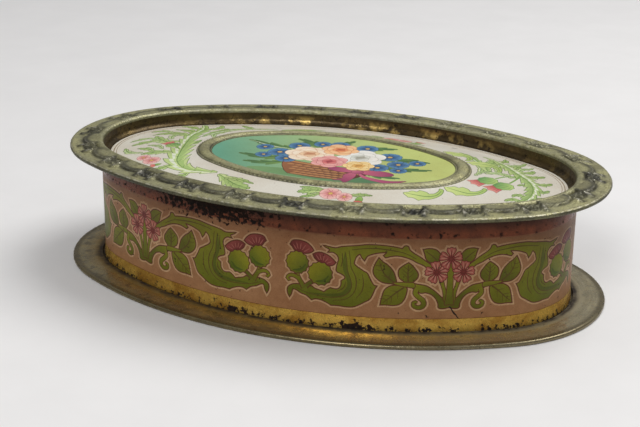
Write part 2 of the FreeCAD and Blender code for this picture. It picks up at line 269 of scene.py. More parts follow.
def curve(points, step=0.5, closed=True):
    """A smooth line through points; a point with a third number is a sharp corner."""
    spots = [np.array(p[:2], float) for p in points]
    sharp = [len(p) > 2 for p in points]
    count = len(spots)
    line = []
    for i in range(count if closed else count - 1):
        j = (i + 1) % count
        here, there = spots[i], spots[j]
        before = spots[i - 1] if closed or i > 0 else here
        after = spots[(i + 2) % count] if closed or i + 2 < count else there
        reach = np.linalg.norm(there - here)
        leave = there - here if sharp[i] else (there - before) / 2.0
        reach_in = there - here if sharp[j] else (after - here) / 2.0
        leave = leave * min(1.0, 1.2 * reach / max(np.linalg.norm(leave), 1e-9))
        reach_in = reach_in * min(1.0, 1.2 * reach / max(np.linalg.norm(reach_in), 1e-9))
        parts = max(1, int(round(reach / step)))
        for k in range(parts):
            t = k / parts
            spot = (2 * t**3 - 3 * t**2 + 1) * here + (t**3 - 2 * t**2 + t) * leave
            spot = spot + (3 * t**2 - 2 * t**3) * there
            line.append(spot + (t**3 - t**2) * reach_in)
    if not closed:
        line.append(spots[-1])
    return np.array(line)


def grown(loop, by):
    """The loop set outwards by a distance."""
    area = np.sum(loop[:, 0] * np.roll(loop[:, 1], -1) - np.roll(loop[:, 0], -1) * loop[:, 1])
    ahead = np.roll(loop, -1, 0) - loop
    ahead /= np.maximum(np.linalg.norm(ahead, axis=1, keepdims=True), 1e-9)
    side = np.stack([ahead[:, 1], -ahead[:, 0]], 1) * (1.0 if area > 0 else -1.0)
    middle = side + np.roll(side, 1, 0)
    middle /= np.maximum(np.linalg.norm(middle, axis=1, keepdims=True), 1e-9)
    lean = np.maximum(np.sum(middle * side, 1, keepdims=True), 0.55)
    return loop + middle * by / lean


def stroke(points, half, step=0.6):
    """A drawn line as a closed patch; half is its half width at the start, middle and end."""
    line = curve(points, step, False)
    ahead = np.gradient(line, axis=0)
    ahead /= np.maximum(np.linalg.norm(ahead, axis=1, keepdims=True), 1e-9)
    side = np.stack([-ahead[:, 1], ahead[:, 0]], 1)
    width = np.interp(np.linspace(0, 1, len(line)), np.linspace(0, 1, len(half)), half)[:, None]
    return np.concatenate([line + side * width, (line - side * width)[::-1]])


def within(loop, spots):
    """Which spots lie inside the loop."""
    inside = np.zeros(len(spots), bool)
    low, high = loop.min(0), loop.max(0)
    near = np.nonzero(np.all((spots > low) & (spots < high), 1))[0]
    if len(near):
        x, y = spots[near, 0][:, None], spots[near, 1][:, None]
        x0, y0 = loop[:, 0], loop[:, 1]
        x1, y1 = np.roll(x0, -1), np.roll(y0, -1)
        side = (x1 - x0) * (y - y0) - (x - x0) * (y1 - y0)
        turns = np.sum((y0 <= y) & (y1 > y) & (side > 0), 1) - np.sum((y0 > y) & (y1 <= y) & (side < 0), 1)
        inside[near] = turns != 0
    return inside


def shade(light, dark, start, end):
    """An ink that runs from light at one place to dark at another."""
    light, dark = np.array(srgb(*light)[:3]), np.array(srgb(*dark)[:3])
    start, end = np.array(start, float), np.array(end, float)
    run = end - start

    def ink(spots):
        share = np.clip((spots - start) @ run / (run @ run), 0, 1)[:, None]
        return light * (1 - share) + dark * share

    return ink


def flat_ink(*colour):
    return shade(colour, colour, (0, 0), (1, 0))


def cut_print(borders, marks, spots, keep):
    """Cuts a flat sheet along the edges of its printed marks.
    Gives its points, its triangles and the ink at each of their corners."""
    points, edges = [], []
    for loop in borders + [mark[0] for mark in marks]:
        first = len(points)
        points.extend(loop)
        edges.extend((first + i, first + (i + 1) % len(loop)) for i in range(len(loop)))
    points.extend(spots)
    points = np.array(points, float)
    flat, _, faces, origin, _, _ = delaunay_2d_cdt([Vector(p) for p in points], edges, [], 0, 4e-3, True)
    flat = np.array([points[origin[i][0]] if origin[i] else (v[0], v[1]) for i, v in enumerate(flat)], float)
    faces = np.array([f for f in faces if len(f) == 3], int)
    middles = flat[faces].mean(1)
    area = np.cross(flat[faces[:, 1]] - flat[faces[:, 0]], flat[faces[:, 2]] - flat[faces[:, 0]])
    kept = keep(middles)
    faces, middles, area = faces[kept], middles[kept], area[kept]
    faces[area < 0] = faces[area < 0][:, ::-1]
    owner = np.zeros(len(faces), int)
    for i, mark in enumerate(marks):
        owner[within(mark[0], middles)] = i
    inks = np.zeros((len(faces), 3, 3))
    for i, mark in enumerate(marks):
        mine = owner == i
        if mine.any():
            inks[mine] = mark[1](flat[faces[mine]].reshape(-1, 2)).reshape(-1, 3, 3)
    return flat, faces, inks


strip_round = oval_round(*body_oval)
quarter = strip_round / 4.0
# length of one motif of the frieze, and how far it is raised on the strip
unit = 58.5
lift = 0.85


def laid(points):
    """Frieze points, read from the foot of the print, as places on the strip."""
    return [(p[0], p[1] + lift) + tuple(p[2:]) for p in points]


ground_ink = flat_ink(186, 138, 97)
halo_ink = flat_ink(224, 186, 142)
line_ink = flat_ink(112, 60, 40)
gold_ink = flat_ink(206, 160, 66)
leaf_light, leaf_dark = (142, 144, 38), (106, 110, 26)
vein_ink = flat_ink(104, 84, 32)
red_light, red_dark = (164, 84, 76), (124, 54, 50)

halos, prints = [], []


def stamp(points, ink, edge=0.40, halo=0.95, edge_ink=line_ink, step=0.5):
    """A printed shape: a pale halo, a dark outline and its ink."""
    loop = curve(laid(points), step)
    if halo:
        halos.append((grown(loop, halo), halo_ink))
    if edge:
        prints.append((grown(loop, edge), edge_ink))
    prints.append((loop, ink))


def pen(points, half, ink, edge=0.0, halo=0.0):
    """A printed line that swells and thins along its run."""
    line = laid(points)
    if halo:
        halos.append((stroke(line, [h + halo for h in half]), halo_ink))
    if edge:
        prints.append((stroke(line, [h + edge for h in half]), line_ink))
    prints.append((stroke(line, half), ink))


# stem from the sprig to the foot of the cluster, and its tendril
stamp([
    (45.25, 17.75), (48, 17.4), (50.5, 16.9), (52.75, 15.5), (54.5, 14), (55.75, 12.75), (57.5, 11.5),
    (59, 11), (59, 9.6), (58, 9.25), (56.25, 8.9), (55, 9.25), (54.9, 10.5), (54, 12.5), (52.5, 14),
    (50.5, 14.75), (48.75, 14.6), (46.75, 15.75),
], shade(leaf_light, leaf_dark, (48, 18), (52, 13)))
pen([
    (47.4, 15.8), (47.0, 14.3), (48.2, 12.9), (49.6, 11.7), (49.9, 10.2), (49.0, 9.3), (47.7, 9.2),
    (46.6, 9.8), (46.4, 10.7), (47.1, 11.3), (47.7, 10.9),
], (0.75, 0.7, 0.75, 0.6, 0.35), shade(leaf_light, leaf_dark, (46, 14), (50, 9)), 0.28, 0.9)
# big curled leaf with the arm that runs to the cluster
stamp([
    (4.2, 9.9, 1), (3.6, 11.2), (3.6, 12.8), (4.7, 14), (6.5, 14.6), (8.5, 14.5), (10, 14.1), (12, 14.5, 1),
    (13, 13.75), (15, 13.25), (16.25, 12.75, 1), (17.5, 13.9), (18.5, 14.5, 1), (20.5, 14.25), (21.75, 15),
    (22.25, 16.25), (22.25, 17.5, 1), (23.5, 18.5), (23.25, 19.5), (22, 20.25), (20.75, 20.75),
    (20.5, 21.5), (20.9, 23.75), (21.25, 25), (21, 26.25), (20.2, 27.2), (19.0, 27.7), (17.6, 27.5, 1),
    (18.2, 28.4), (16, 29.6, 1), (17.5, 29.3), (20, 29), (22, 29.6), (24.5, 30), (27.5, 30.4), (30.5, 30.9),
    (34.25, 31), (38, 30.75), (40.5, 30.4), (42.25, 30, 1), (43, 31), (44, 30.9), (44.5, 29.75), (46, 28.5),
    (48, 27.25), (50, 25.75), (52, 24.2), (51.5, 23), (49.5, 24.5), (47.25, 25.5), (45.5, 26.5), (43, 27.4),
    (40.5, 27.75), (38.5, 27.5), (36.75, 27), (36.25, 27.5, 1), (37.25, 28.75), (34.25, 28.5),
    (31.75, 27.75), (30.5, 27), (29.75, 25.6, 1), (29, 26.5), (28.25, 27.75), (27, 26.75), (26.5, 25.5),
    (26.25, 24), (27.5, 22.75), (28, 22.5, 1), (29.5, 21.5), (30.75, 20.75), (31.75, 18.75), (33, 16.7),
    (33.9, 16.4, 1), (33.25, 15.25), (32.75, 13.75), (31.75, 11.75), (30, 10.6), (28.25, 9.5), (26.25, 8.6),
    (23.75, 8.4), (21.25, 8.6), (18.75, 8.5, 1), (17.5, 9.25), (15.25, 10.1), (13.25, 10.25), (12, 9.75, 1),
    (11.25, 10.4), (10, 11.25), (8.25, 11.75), (6.5, 12.75), (5.25, 12.75), (4.75, 11),
], shade((146, 148, 40), (110, 118, 28), (24, 27), (20, 8)))
stamp([
    (23.4, 27.9), (24.0, 24.5), (24.2, 21.5), (25.2, 18.4), (25.6, 15.8), (24.6, 13.6), (22.0, 12.0),
    (18, 11.5), (11, 12.1), (18, 12.5), (21.8, 13.2), (23.6, 14.8), (24.2, 16.6), (23.6, 19.2),
    (22.6, 22.0), (22.6, 25.0),
], shade((112, 120, 34), (92, 100, 26), (24, 28), (18, 10)), 0, 0)
for vein in (
    [
        (23.2, 28.2), (23.9, 24.6), (24.2, 21.4), (25.3, 18.2), (25.6, 15.6), (24.4, 13.2), (21.6, 11.7),
        (17, 11.2), (11, 11.9), (6.4, 13.4),
    ],
    [
        (24.6, 28.6), (25.0, 25.6), (25.4, 22.6), (26.9, 19.4), (27.2, 16.2), (26.2, 13.2), (23.6, 11.0),
        (19.6, 10.2),
    ],
    [(29.2, 20.4), (29.6, 17.0), (29.0, 14.0), (27.2, 11.6)],
    [(22.3, 27.6), (22.4, 24.6), (21.9, 22.4)],
    [(25.6, 28.9), (29.5, 29.6), (34, 29.9), (39, 29.4), (43, 28.6), (47, 26.6)],
    [(23.6, 17.4), (23.0, 15.2), (20.8, 13.6)],
):
    pen(vein, (0.10, 0.19, 0.10), vein_ink)
# hooked stalks of the thistle pair
for line, half in (
    ([(6.7, 19.2), (7.1, 17.6), (8.1, 15.8), (9.4, 13.8)], (0.7, 0.62, 0.66, 0.95)),
    ([(7.2, 17.0), (5.6, 17.7), (4.1, 17.5), (3.3, 16.5), (3.8, 15.8), (4.5, 16.2)], (0.6, 0.55, 0.45, 0.3)),
    ([(12.8, 16.6), (11.4, 15.7), (9.8, 14.2)], (0.62, 0.55, 0.75)),
):
    pen(line, half, shade(leaf_light, leaf_dark, (4, 18), (10, 14)), 0.3, 0.9)
# thistle tufts, then their green bulbs
for rim, root, tips in (
    (
        [
            (4.5, 28.8, 1), (5.4, 30.1), (7.5, 30.4), (10, 29.9), (11.75, 28.5), (12.4, 27.5, 1),
            (11.5, 26.75), (9.5, 26.25), (7.25, 26.4), (6, 27), (5.1, 28.25),
        ],
        (7.6, 25.6),
        ((5.4, 29.0), (6.6, 29.7), (8.2, 29.7), (9.8, 29.1), (11.2, 28.0)),
    ),
    (
        [
            (12.5, 26.1, 1), (13.75, 26.75), (15.25, 26.9), (17.25, 26.25), (18.75, 25.25), (20, 24, 1),
            (19.25, 23.1), (17.5, 22.75), (15.5, 23.4), (14, 24.1), (13, 25),
        ],
        (15.6, 22.8),
        ((13.4, 26.0), (14.7, 26.3), (16.2, 26.0), (17.6, 25.2), (18.9, 24.1)),
    ),
):
    stamp(rim, shade(red_dark, red_light, root, rim[4][:2]))
    for tip in tips:
        start = (root[0] * 0.55 + tip[0] * 0.45, root[1] * 0.55 + tip[1] * 0.45)
        pen([start, tip], (0.14, 0.2, 0.08), flat_ink(190, 116, 104))
for middle, halves in (((6.9, 22.6), (3.7, 3.75)), ((14.9, 19.4), (3.95, 3.9))):
    rim = []
    for i in range(26):
        turn = 2 * math.pi * i / 26
        spike = 1.07 if i % 2 else 0.97
        x = middle[0] + halves[0] * spike * math.cos(turn)
        y = middle[1] + halves[1] * spike * math.sin(turn)
        rim.append((x, y))
    lit, unlit = (middle[0] - 2.4, middle[1] + 2.6), (middle[0] + 2.6, middle[1] - 3.0)
    stamp(rim, shade((164, 164, 42), (80, 102, 22), lit, unlit), 0.32, 0.85, line_ink, 0.7)
    crease = [(middle[0] + x, middle[1] + y) for x, y in ((-1.6, -2.9), (1.2, -2.4), (2.9, -0.4))]
    pen(crease, (0.15, 0.5, 0.15), flat_ink(88, 104, 26))
# three-leaved sprig
for rim, spine in (
    (
        [
            (34.6, 26.4, 1), (33.6, 24.5), (32.9, 22.25), (33.25, 20.5), (34.5, 19), (36.25, 18),
            (38.75, 17.75), (40.4, 17.9), (39.75, 21), (38.75, 22.75), (37.25, 24.25), (35.75, 25.25),
        ],
        [(34.8, 25.6), (35.6, 22.6), (37.2, 20.2), (40.0, 18.0)],
    ),
    ([
        (44.4, 25.1, 1), (42.75, 24), (41.5, 22.75), (41.25, 21.25), (41.75, 19.75), (43, 18.75),
        (44.5, 18), (46, 18.5), (47.4, 20), (47.5, 21.5), (46.5, 23), (45.5, 24.25),
    ], [(44.4, 24.4), (44.3, 21.6), (44.5, 18.4)]),
    (
        [
            (35.5, 9.9, 1), (36, 12.5), (36.75, 15), (38, 16.25), (39.75, 16.9), (42.75, 16.75), (44, 16),
            (43.75, 13.75), (43, 11.75), (41.75, 10.4), (39.75, 9.9), (37.5, 10),
        ],
        [(36.2, 10.6), (38.6, 12.6), (40.8, 14.6), (43.2, 16.4)],
    ),
):
    stamp(rim, shade(leaf_light, leaf_dark, (rim[2][0], rim[2][1] + 3), (rim[-2][0] + 1, rim[-2][1] - 3)))
    pen(spine, (0.1, 0.22, 0.3), vein_ink)
    for share in (0.3, 0.55, 0.78):
        off = abs(share - 0.5)
        end = np.array(spine[0] if share < 0.5 else spine[-1])
        at = np.array(spine[1]) * (1 - off * 2) + end * off * 2
        way = np.array(spine[0]) - np.array(spine[-1])
        way = way / np.linalg.norm(way)
        for side in (-1, 1):
            out = way * 0.8 + np.array([-way[1], way[0]]) * side
            bend, tip = at + out * 1.1, at + out * 1.9 + way * 0.3
            pen([tuple(at), tuple(bend), tuple(tip)], (0.12, 0.1, 0.05), vein_ink)
stamp([
    (39.6, 17.9), (42, 18.1), (44.5, 18.1), (46.4, 17.9), (46.6, 16.4), (44.2, 16.6), (41.5, 17.1),
], shade(leaf_light, leaf_dark, (43, 18.4), (43, 16.4)), 0.28)
# cluster: leaf, stems and blossoms
stamp([
    (49.25, 29.9, 1), (51, 30.2), (53, 29.9), (54.25, 28.9), (55.2, 27.4), (54.4, 26.0), (53, 25.8),
    (51.5, 25.6), (50.25, 26.75), (49.75, 28.5),
], shade(leaf_light, leaf_dark, (50, 30), (54, 26)))
pen([(49.8, 29.4), (51.6, 28.2), (53.6, 26.4)], (0.08, 0.18, 0.22), vein_ink)
stamp([
    (55.0, 18.8), (55.6, 17.0), (56.3, 14.4), (56.6, 11.6), (57.6, 11.6), (57.3, 14.6), (56.5, 17.4),
    (56.0, 19.2),
], shade(leaf_light, leaf_dark, (55, 18), (57, 11)), 0.26)
stamp([
    (57.6, 24.5), (57.6, 18), (57.3, 12.6), (57.0, 10.2), (58.5, 10.4), (60.0, 10.2), (59.7, 12.6),
    (59.4, 18), (59.4, 24.5),
], shade(leaf_light, leaf_dark, (58, 24), (58, 11)), 0.26)
for middle, start in (((53.9, 21.9), 100.0), ((58.5, 26.7), 90.0)):
    for i in range(5):
        way = math.radians(start + 72.0 * i)

        def petal(r, side):
            x = middle[0] + r * math.cos(way) - side * math.sin(way)
            y = middle[1] + r * math.sin(way) + side * math.cos(way)
            return (x, y)

        blush = shade((170, 84, 76), (206, 122, 106), petal(0.5, 0), petal(3.7, 0))
        stamp([
            petal(0.3, 0), petal(1.4, 0.62), petal(2.8, 1.45), petal(3.75, 1.3), petal(3.6, 0.65),
            petal(3.95, 0.2), petal(3.6, -0.5), petal(3.75, -1.25), petal(2.8, -1.45), petal(1.4, -0.62),
        ], blush, 0.26, 0.95, flat_ink(116, 44, 40), 0.45)
        for side in (-0.7, 0.7):
            gleam = [petal(1.3, side * 0.3), petal(3.3, side * 1.2)]
            pen(gleam, (0.08, 0.22, 0.16), flat_ink(224, 164, 142))
        pen([petal(0.5, 0), petal(3.1, 0)], (0.24, 0.16, 0.06), flat_ink(120, 46, 42))
    turns = np.linspace(0, 2 * math.pi, 9)[:-1]
    heart = [(middle[0] + 0.55 * math.cos(t), middle[1] + 0.55 * math.sin(t)) for t in turns]
    stamp(heart, flat_ink(140, 62, 54), 0.14, 0)

column_at = np.linspace(0.0, unit, columns + 1)
past_ends = np.concatenate([[-1.0], column_at, [unit + 1.0]])


def field(at, low, high):
    """A straight-edged field of the print, with a point at each column so that it bends with the strip."""
    lower = np.stack([at, np.full(len(at), low)], 1)
    upper = np.stack([at, np.full(len(at), high)], 1)
    return np.concatenate([lower, upper[::-1]])


def on_strip(spots):
    between_ends = (spots[:, 0] > 0) & (spots[:, 0] < unit)
    return between_ends & (spots[:, 1] > strip_foot) & (spots[:, 1] < strip_mouth)


frame_line = field(column_at, strip_foot, strip_mouth)
ground = [
    (field(past_ends, strip_foot - 1.0, strip_mouth + 1.0), gold_ink),
    (field(past_ends, low_band, high_band), line_ink),
    (field(past_ends, low_band + 0.2, high_band - 0.2), ground_ink),
]
dots = np.array([(u, z) for u in column_at[1:-1] for z in np.linspace(strip_foot, strip_mouth, 20)[1:-1]])
flat, faces, inks = cut_print([frame_line], ground + halos + prints, dots, on_strip)
flat[np.abs(flat[:, 0]) < 1e-3, 0] = 0.0
flat[np.abs(flat[:, 0] - unit) < 1e-3, 0] = unit


class Sheet:
    """The points, faces, inks and regions of one piece of tin, before it becomes a mesh."""

    def __init__(self):
        self.points, self.faces, self.inks, self.region, self.extra = [], [], [], [], []
        self.count = 0

    def add(self, points, faces, inks, region, extra=None):
        faces = np.asarray(faces, int)
        self.points.append(np.asarray(points, float))
        self.faces.append(faces + self.count)
        inks = np.asarray(inks, float)
        self.inks.append(np.broadcast_to(inks, (len(faces), 3, 3)) if inks.ndim < 3 else inks)
        self.region.append(np.full(len(faces), region, int))
        self.extra.append(np.zeros((len(points), 2)) if extra is None else extra)
        self.count += len(points)

    def rows(self, rings, inks, region, extra=None):
        """Joins closed rings of equal count, each to the left of the last, seen from outside."""
        count = len(rings[0])
        faces = []
        step = np.arange(count)
        after = (step + 1) % count
        for i in range(len(rings) - 1):
            a, b = i * count, (i + 1) * count
            faces.append(np.stack([a + step, a + after, b + after], 1))
            faces.append(np.stack([a + step, b + after, b + step], 1))
        extra = None if extra is None else np.concatenate(extra)
        self.add(np.concatenate(rings), np.concatenate(faces), inks, region, extra)

    def mesh(self, name, finishes):
        points = np.concatenate(self.points)
        faces = np.concatenate(self.faces)
        inks = np.concatenate(self.inks)
        region = np.concatenate(self.region)
        extra = np.concatenate(self.extra)
        _, first, back = np.unique(np.round(points, 4), axis=0, return_index=True, return_inverse=True)
        back = back.reshape(-1)
        faces = back[faces]
        good = (faces[:, 0] != faces[:, 1]) & (faces[:, 1] != faces[:, 2]) & (faces[:, 2] != faces[:, 0])
        faces, inks, region = faces[good], inks[good], region[good]
        made = bpy.data.meshes.new(name)
        made.from_pydata((points[first] / 1000.0).tolist(), [], faces.tolist())
        made.polygons.foreach_set("material_index", region.astype(np.int32))
        made.polygons.foreach_set("use_smooth", np.ones(len(faces), bool))
        ink = made.color_attributes.new("ink", "FLOAT_COLOR", "CORNER")
        tints = np.concatenate([inks.reshape(-1, 3), np.ones((len(faces) * 3, 1))], 1)
        ink.data.foreach_set("color", tints.astype(np.float32).ravel())
        for i, word in enumerate(("dark", "rub_and_glint")):
            wear_at = made.attributes.new(word, "FLOAT", "POINT")
            wear_at.data.foreach_set("value", extra[first, i].astype(np.float32))
        for metal in finishes:
            made.materials.append(metal)
        made.update()
        made.set_sharp_from_angle(angle=math.radians(48))
        piece = bpy.data.objects.new(name, made)
        bpy.context.scene.collection.objects.link(piece)
        return piece


def ring(along, out, z):
    """A closed ring of points that runs round the body line, set out from it and up."""
    points, facing = oval(*body_oval, along)
    heights = np.full(len(points), z) if np.ndim(z) == 0 else z
    return np.column_stack([points + facing * np.reshape(out, (-1, 1)), heights])


def arc(centre_out, centre_z, radius, start, end, count):
    """Places on an arc of the section, as out and up, at angles in degrees."""
    turns = np.radians(np.linspace(start, end, count))
    return [(centre_out + radius * math.cos(t), centre_z + radius * math.sin(t)) for t in turns]


def flare(z):
    """How far the foot of the strip is spread outwards, below the top of the lower gilt band."""
    return foot_flare * np.clip((low_band - z) / (low_band - strip_foot), 0.0, 1.0) ** 1.5


# the frieze goes round in eight lengths, each the mirror image of the last
strip = Sheet()
around = []
for k in range(repeats):
    onward = 1.0 if k % 2 == 0 else -1.0
    start = ((k + 1) // 2) * quarter
    reach = 1.0 if ((k + 1) // 2) % 2 else (quarter - unit) / unit
    points, facing = oval(*body_oval, start + onward * reach * flat[:, 0])
    points = points + facing * flare(flat[:, 1])[:, None]
    if onward > 0:
        strip.add(np.column_stack([points, flat[:, 1]]), faces, inks, 0)
    else:
        strip.add(np.column_stack([points, flat[:, 1]]), faces[:, ::-1], inks[:, ::-1], 0)
    around.extend(sorted(start + onward * reach * column_at)[:-1])
around = np.array(around)
# the curl over the mouth wire, and the plain inside
profile = [(0.0, strip_mouth)]
profile += arc(curl_centre, strip_mouth, curl_inside, 180, -90, 13)[1:]
profile += arc(curl_centre, strip_mouth, curl_outside, 180, -90, 13)[::-1]
profile += [(-strip_thick, z) for z in np.linspace(strip_mouth, strip_foot, 10)[1:]]
profile.append((foot_flare, strip_foot))
tin_grey = np.array(srgb(172, 170, 162)[:3])
strip.rows([ring(around, out, z) for out, z in profile], tin_grey, 1)
# the lap of the seam, on the inside at the back
lap_half, lap_low, lap_high, lap_sink = 2.5, 9.0, 37.0, 0.02
lap_root, lap_face = -strip_thick + lap_sink, -2 * strip_thick
lap = quarter + np.linspace(-lap_half, lap_half, 7)
lap_section = ((lap_root, lap_low), (lap_face, lap_low), (lap_face, lap_high), (lap_root, lap_high))
loops = [ring(lap, out, z) for out, z in lap_section]
count = len(lap)
faces_lap = []
for i in range(4):
    a, b = i * count, ((i + 1) % 4) * count
    for j in range(count - 1):
        faces_lap += [(a + j, b + j + 1, a + j + 1), (a + j, b + j, b + j + 1)]
for j, flip in ((0, False), (count - 1, True)):
    corner = [j, count + j, 2 * count + j, 3 * count + j]
    for tri in ((0, 2, 1), (0, 3, 2)):
        pick = tuple(corner[t] for t in tri)
        faces_lap.append(pick[::-1] if flip else pick)
strip.add(np.concatenate(loops), faces_lap, tin_grey, 1)

# ink and gilt bands, then fading, painted shade of the lid towards the top, worn edges, specks of rust, one
# deep scratch and the seam
printed_tin, tree, shader, place = new_finish("printed_tin")
spread = put(tree, "SeparateXYZ", Vector=place)
height, left = spread.outputs["Z"], spread.outputs["X"]
ink = put(tree, "Attribute", {"attribute_name": "ink"}).outputs["Color"]
low_line, high_line = low_band / 1000.0, high_band / 1000.0
low_gilt = ramp(tree, height, low_line + 0.00005, low_line)
high_gilt = ramp(tree, height, high_line - 0.0009, high_line)
gilt = math_of(tree, "MAXIMUM", low_gilt, high_gilt)
stipple = cloud(tree, place, 0.35, 0.42, 0.7, 1.0)
colour = over(tree, both(tree, stipple, 0.22), ink, srgb(168, 118, 92), "MULTIPLY")
faded = both(tree, cloud(tree, place, 22.0, 0.4, 0.7), 0.35)
colour = over(tree, faded, colour, srgb(190, 150, 112), "MULTIPLY")
mottle = both(tree, cloud(tree, place, 2.6, 0.38, 0.64), 0.30)
colour = over(tree, mottle, colour, srgb(206, 192, 176), "MULTIPLY")
# painted shade: the wall darkens towards the top, where the lid's flange shades it
painted_lid_shadow = both(tree, ramp(tree, height, 0.0190, 0.0345), 0.55)
colour = over(tree, painted_lid_shadow, colour, srgb(206, 192, 184), "MULTIPLY")
tone = over(tree, cloud(tree, place, 7.0, 0.4, 0.62), srgb(228, 186, 90), srgb(188, 140, 60))
# upper band: copper-brown lacquer darkened by painted shade of the lid, darkest as painted shadow right
# under the flange
copper_and_lid_shadow = over(tree, cloud(tree, place, 6.0, 0.4, 0.62), srgb(114, 62, 40), srgb(88, 48, 32))
copper_and_lid_shadow = over(tree, ramp(tree, height, 0.0362, 0.0398), copper_and_lid_shadow, srgb(50, 30, 22))
tone = over(tree, ramp(tree, height, 0.030, 0.034), tone, copper_and_lid_shadow)
colour = over(tree, gilt, colour, tone)
patchy = level(tree, cloud(tree, place, 13.0, 0.42, 0.60), 0.6, 1.0)
low_edge = both(tree, ramp(tree, height, 0.0040, 0.0020), patchy)
low_wear = both(tree, low_edge, 0.19)
high_edge = both(tree, ramp(tree, height, 0.0336, 0.0352), ramp(tree, height, 0.0376, 0.0356))
high_wear = both(tree, high_edge, 0.075)
rim_share = level(tree, ramp(tree, left, 0.010, -0.020), 0.07, 0.17)
rim_wear = both(tree, ramp(tree, height, 0.0372, 0.0395), rim_share)
worn = math_of(tree, "ADD", low_wear, math_of(tree, "ADD", high_wear, rim_wear))
front = ramp(tree, spread.outputs["Y"], -0.010, -0.030)
eaten_run = both(tree, ramp(tree, left, -0.056, -0.036), ramp(tree, left, 0.004, -0.018))
eaten_rise = both(tree, ramp(tree, height, 0.0310, 0.0372), front)
eaten = both(tree, eaten_run, eaten_rise)
blister = both(tree, ramp(tree, height, 0.0060, 0.0050), cloud(tree, place, 8.0, 0.56, 0.68))
amount = math_of(tree, "ADD", worn, both(tree, eaten, 0.22))
amount = math_of(tree, "ADD", amount, both(tree, blister, 0.15))
speck = put(tree, "TexNoise", Vector=place, Scale=650.0, Detail=5.0, Roughness=0.62).outputs["Fac"]
rust = ramp(tree, math_of(tree, "ADD", speck, amount), 0.66, 0.69)
rust = math_of(tree, "MAXIMUM", rust, cloud(tree, place, 0.9, 0.71, 0.74))
crust = over(tree, cloud(tree, place, 1.0, 0.4, 0.6), srgb(24, 18, 15), srgb(50, 32, 22))
colour = over(tree, rust, colour, crust)
wobble = put(tree, "TexNoise", Vector=place, Scale=500.0).outputs["Fac"]
aside = put(tree, "VectorMath", {"operation": "DOT_PRODUCT"}, at0=place, at1=(0.841, 0.0, 0.542))
along = put(tree, "VectorMath", {"operation": "DOT_PRODUCT"}, at0=place, at1=(0.542, 0.0, -0.841))
aside, along = aside.outputs["Value"], along.outputs["Value"]
aside = put(tree, "Math", {"operation": "MULTIPLY_ADD"}, at0=wobble, at1=0.0012, at2=aside).outputs[0]
aside = measure(tree, "ABSOLUTE", measure(tree, "SUBTRACT", aside, 0.05398))
scratch = both(tree, ramp(tree, aside, 0.00034, 0.00022), front)
scratch = both(tree, scratch, ramp(tree, along, 0.0219, 0.0222))
scratch = both(tree, scratch, ramp(tree, along, 0.0276, 0.0273))
colour = over(tree, scratch, colour, srgb(26, 18, 14))
from_seam = measure(tree, "ABSOLUTE", measure(tree, "SUBTRACT", left, lap_half / 1000.0))
behind = ramp(tree, spread.outputs["Y"], 0.040, 0.041)
seam = both(tree, ramp(tree, from_seam, 0.00022, 0.00012), behind)
colour = over(tree, seam, colour, srgb(74, 54, 40))
join(tree, colour, shader, "Base Color")
join(tree, both(tree, gilt, level(tree, rust, 0.6, 0.0)), shader, "Metallic")
ink_gloss = level(tree, cloud(tree, place, 3.0, 0.3, 0.7), 0.36, 0.5)
gilt_gloss = level(tree, cloud(tree, place, 2.0, 0.3, 0.7), 0.2, 0.34)
gloss = level(tree, gilt, ink_gloss, gilt_gloss)
join(tree, level(tree, rust, gloss, 0.85), shader, "Roughness")
shader.inputs["Specular IOR Level"].default_value = 0.25
waves = put(tree, "Bump", Strength=0.25, Distance=0.0002, Height=cloud(tree, place, 5.0, 0.3, 0.7))
raised = math_of(tree, "MAXIMUM", rust, seam)
bump = put(tree, "Bump", Strength=0.4, Distance=0.00015, Height=raised, Normal=waves.outputs["Normal"])
join(tree, bump.outputs["Normal"], shader, "Normal")

# plain tinplate of the insides
bare_tin, tree, shader, place = new_finish("bare_tin")
colour = over(tree, cloud(tree, place, 16.0, 0.38, 0.62), srgb(182, 180, 172), srgb(150, 145, 132))
colour = over(tree, cloud(tree, place, 1.6, 0.64, 0.72), colour, srgb(104, 76, 52))
join(tree, colour, shader, "Base Color")
shader.inputs["Metallic"].default_value = 0.88
join(tree, level(tree, cloud(tree, place, 4.0, 0.35, 0.65), 0.3, 0.46), shader, "Roughness")
dent(tree, shader, 0.25, 0.0002, cloud(tree, place, 6.0, 0.3, 0.7))

wall = strip.mesh("body_strip", [printed_tin, bare_tin])
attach(wall, "box")
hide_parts("body_wall")

# Lid
# One deep oval pressing of tinplate: a plug that drops into the mouth, a bead over the mouth curl,
# and a broad flange stamped with swags and pendants, curled down round a wire.
# The sunk panel is printed, with a raised gilt frame.

swag_count = 24
swag_unit = strip_round / swag_count
swag_shift = -2.4
flange_top, flange_under = 45.60, 45.25
bead_centre, bead_outside, bead_inside = 0.5, 1.45, 1.10
lid_curl_out, lid_curl_z = 10.65, 44.75
recess_face, plug_face = -0.95, -0.60
cove_out, cove_z, cove_above, cove_below = -3.35, 43.40, 2.40, 2.75
panel_oval = tuple(size + cove_out for size in body_oval)
sheet_thick = 0.35

# columns stand close together at the pendants and wider apart along a swag
plain_run, pendant_run = 5.0, swag_unit - 5.0
wide_columns = np.linspace(-plain_run, plain_run, 10)[:-1]
close_columns = np.linspace(plain_run, pendant_run, 17)[:-1]
swag_columns = np.concatenate([wide_columns, close_columns])
from_middle = np.where(swag_columns > swag_unit / 2.0, swag_columns - swag_unit, swag_columns)
across = np.tile(from_middle, swag_count)
swag_starts = np.repeat(np.arange(swag_count) * swag_unit, len(swag_columns))
along_lid = swag_shift + swag_starts + np.tile(swag_columns, swag_count)
lid_columns = len(along_lid)


def hump(distance, half):
    """A half-round ridge, 1 at its crest and 0 from half away."""
    return np.sqrt(np.clip(1.0 - (distance / half) ** 2, 0.0, 1.0))


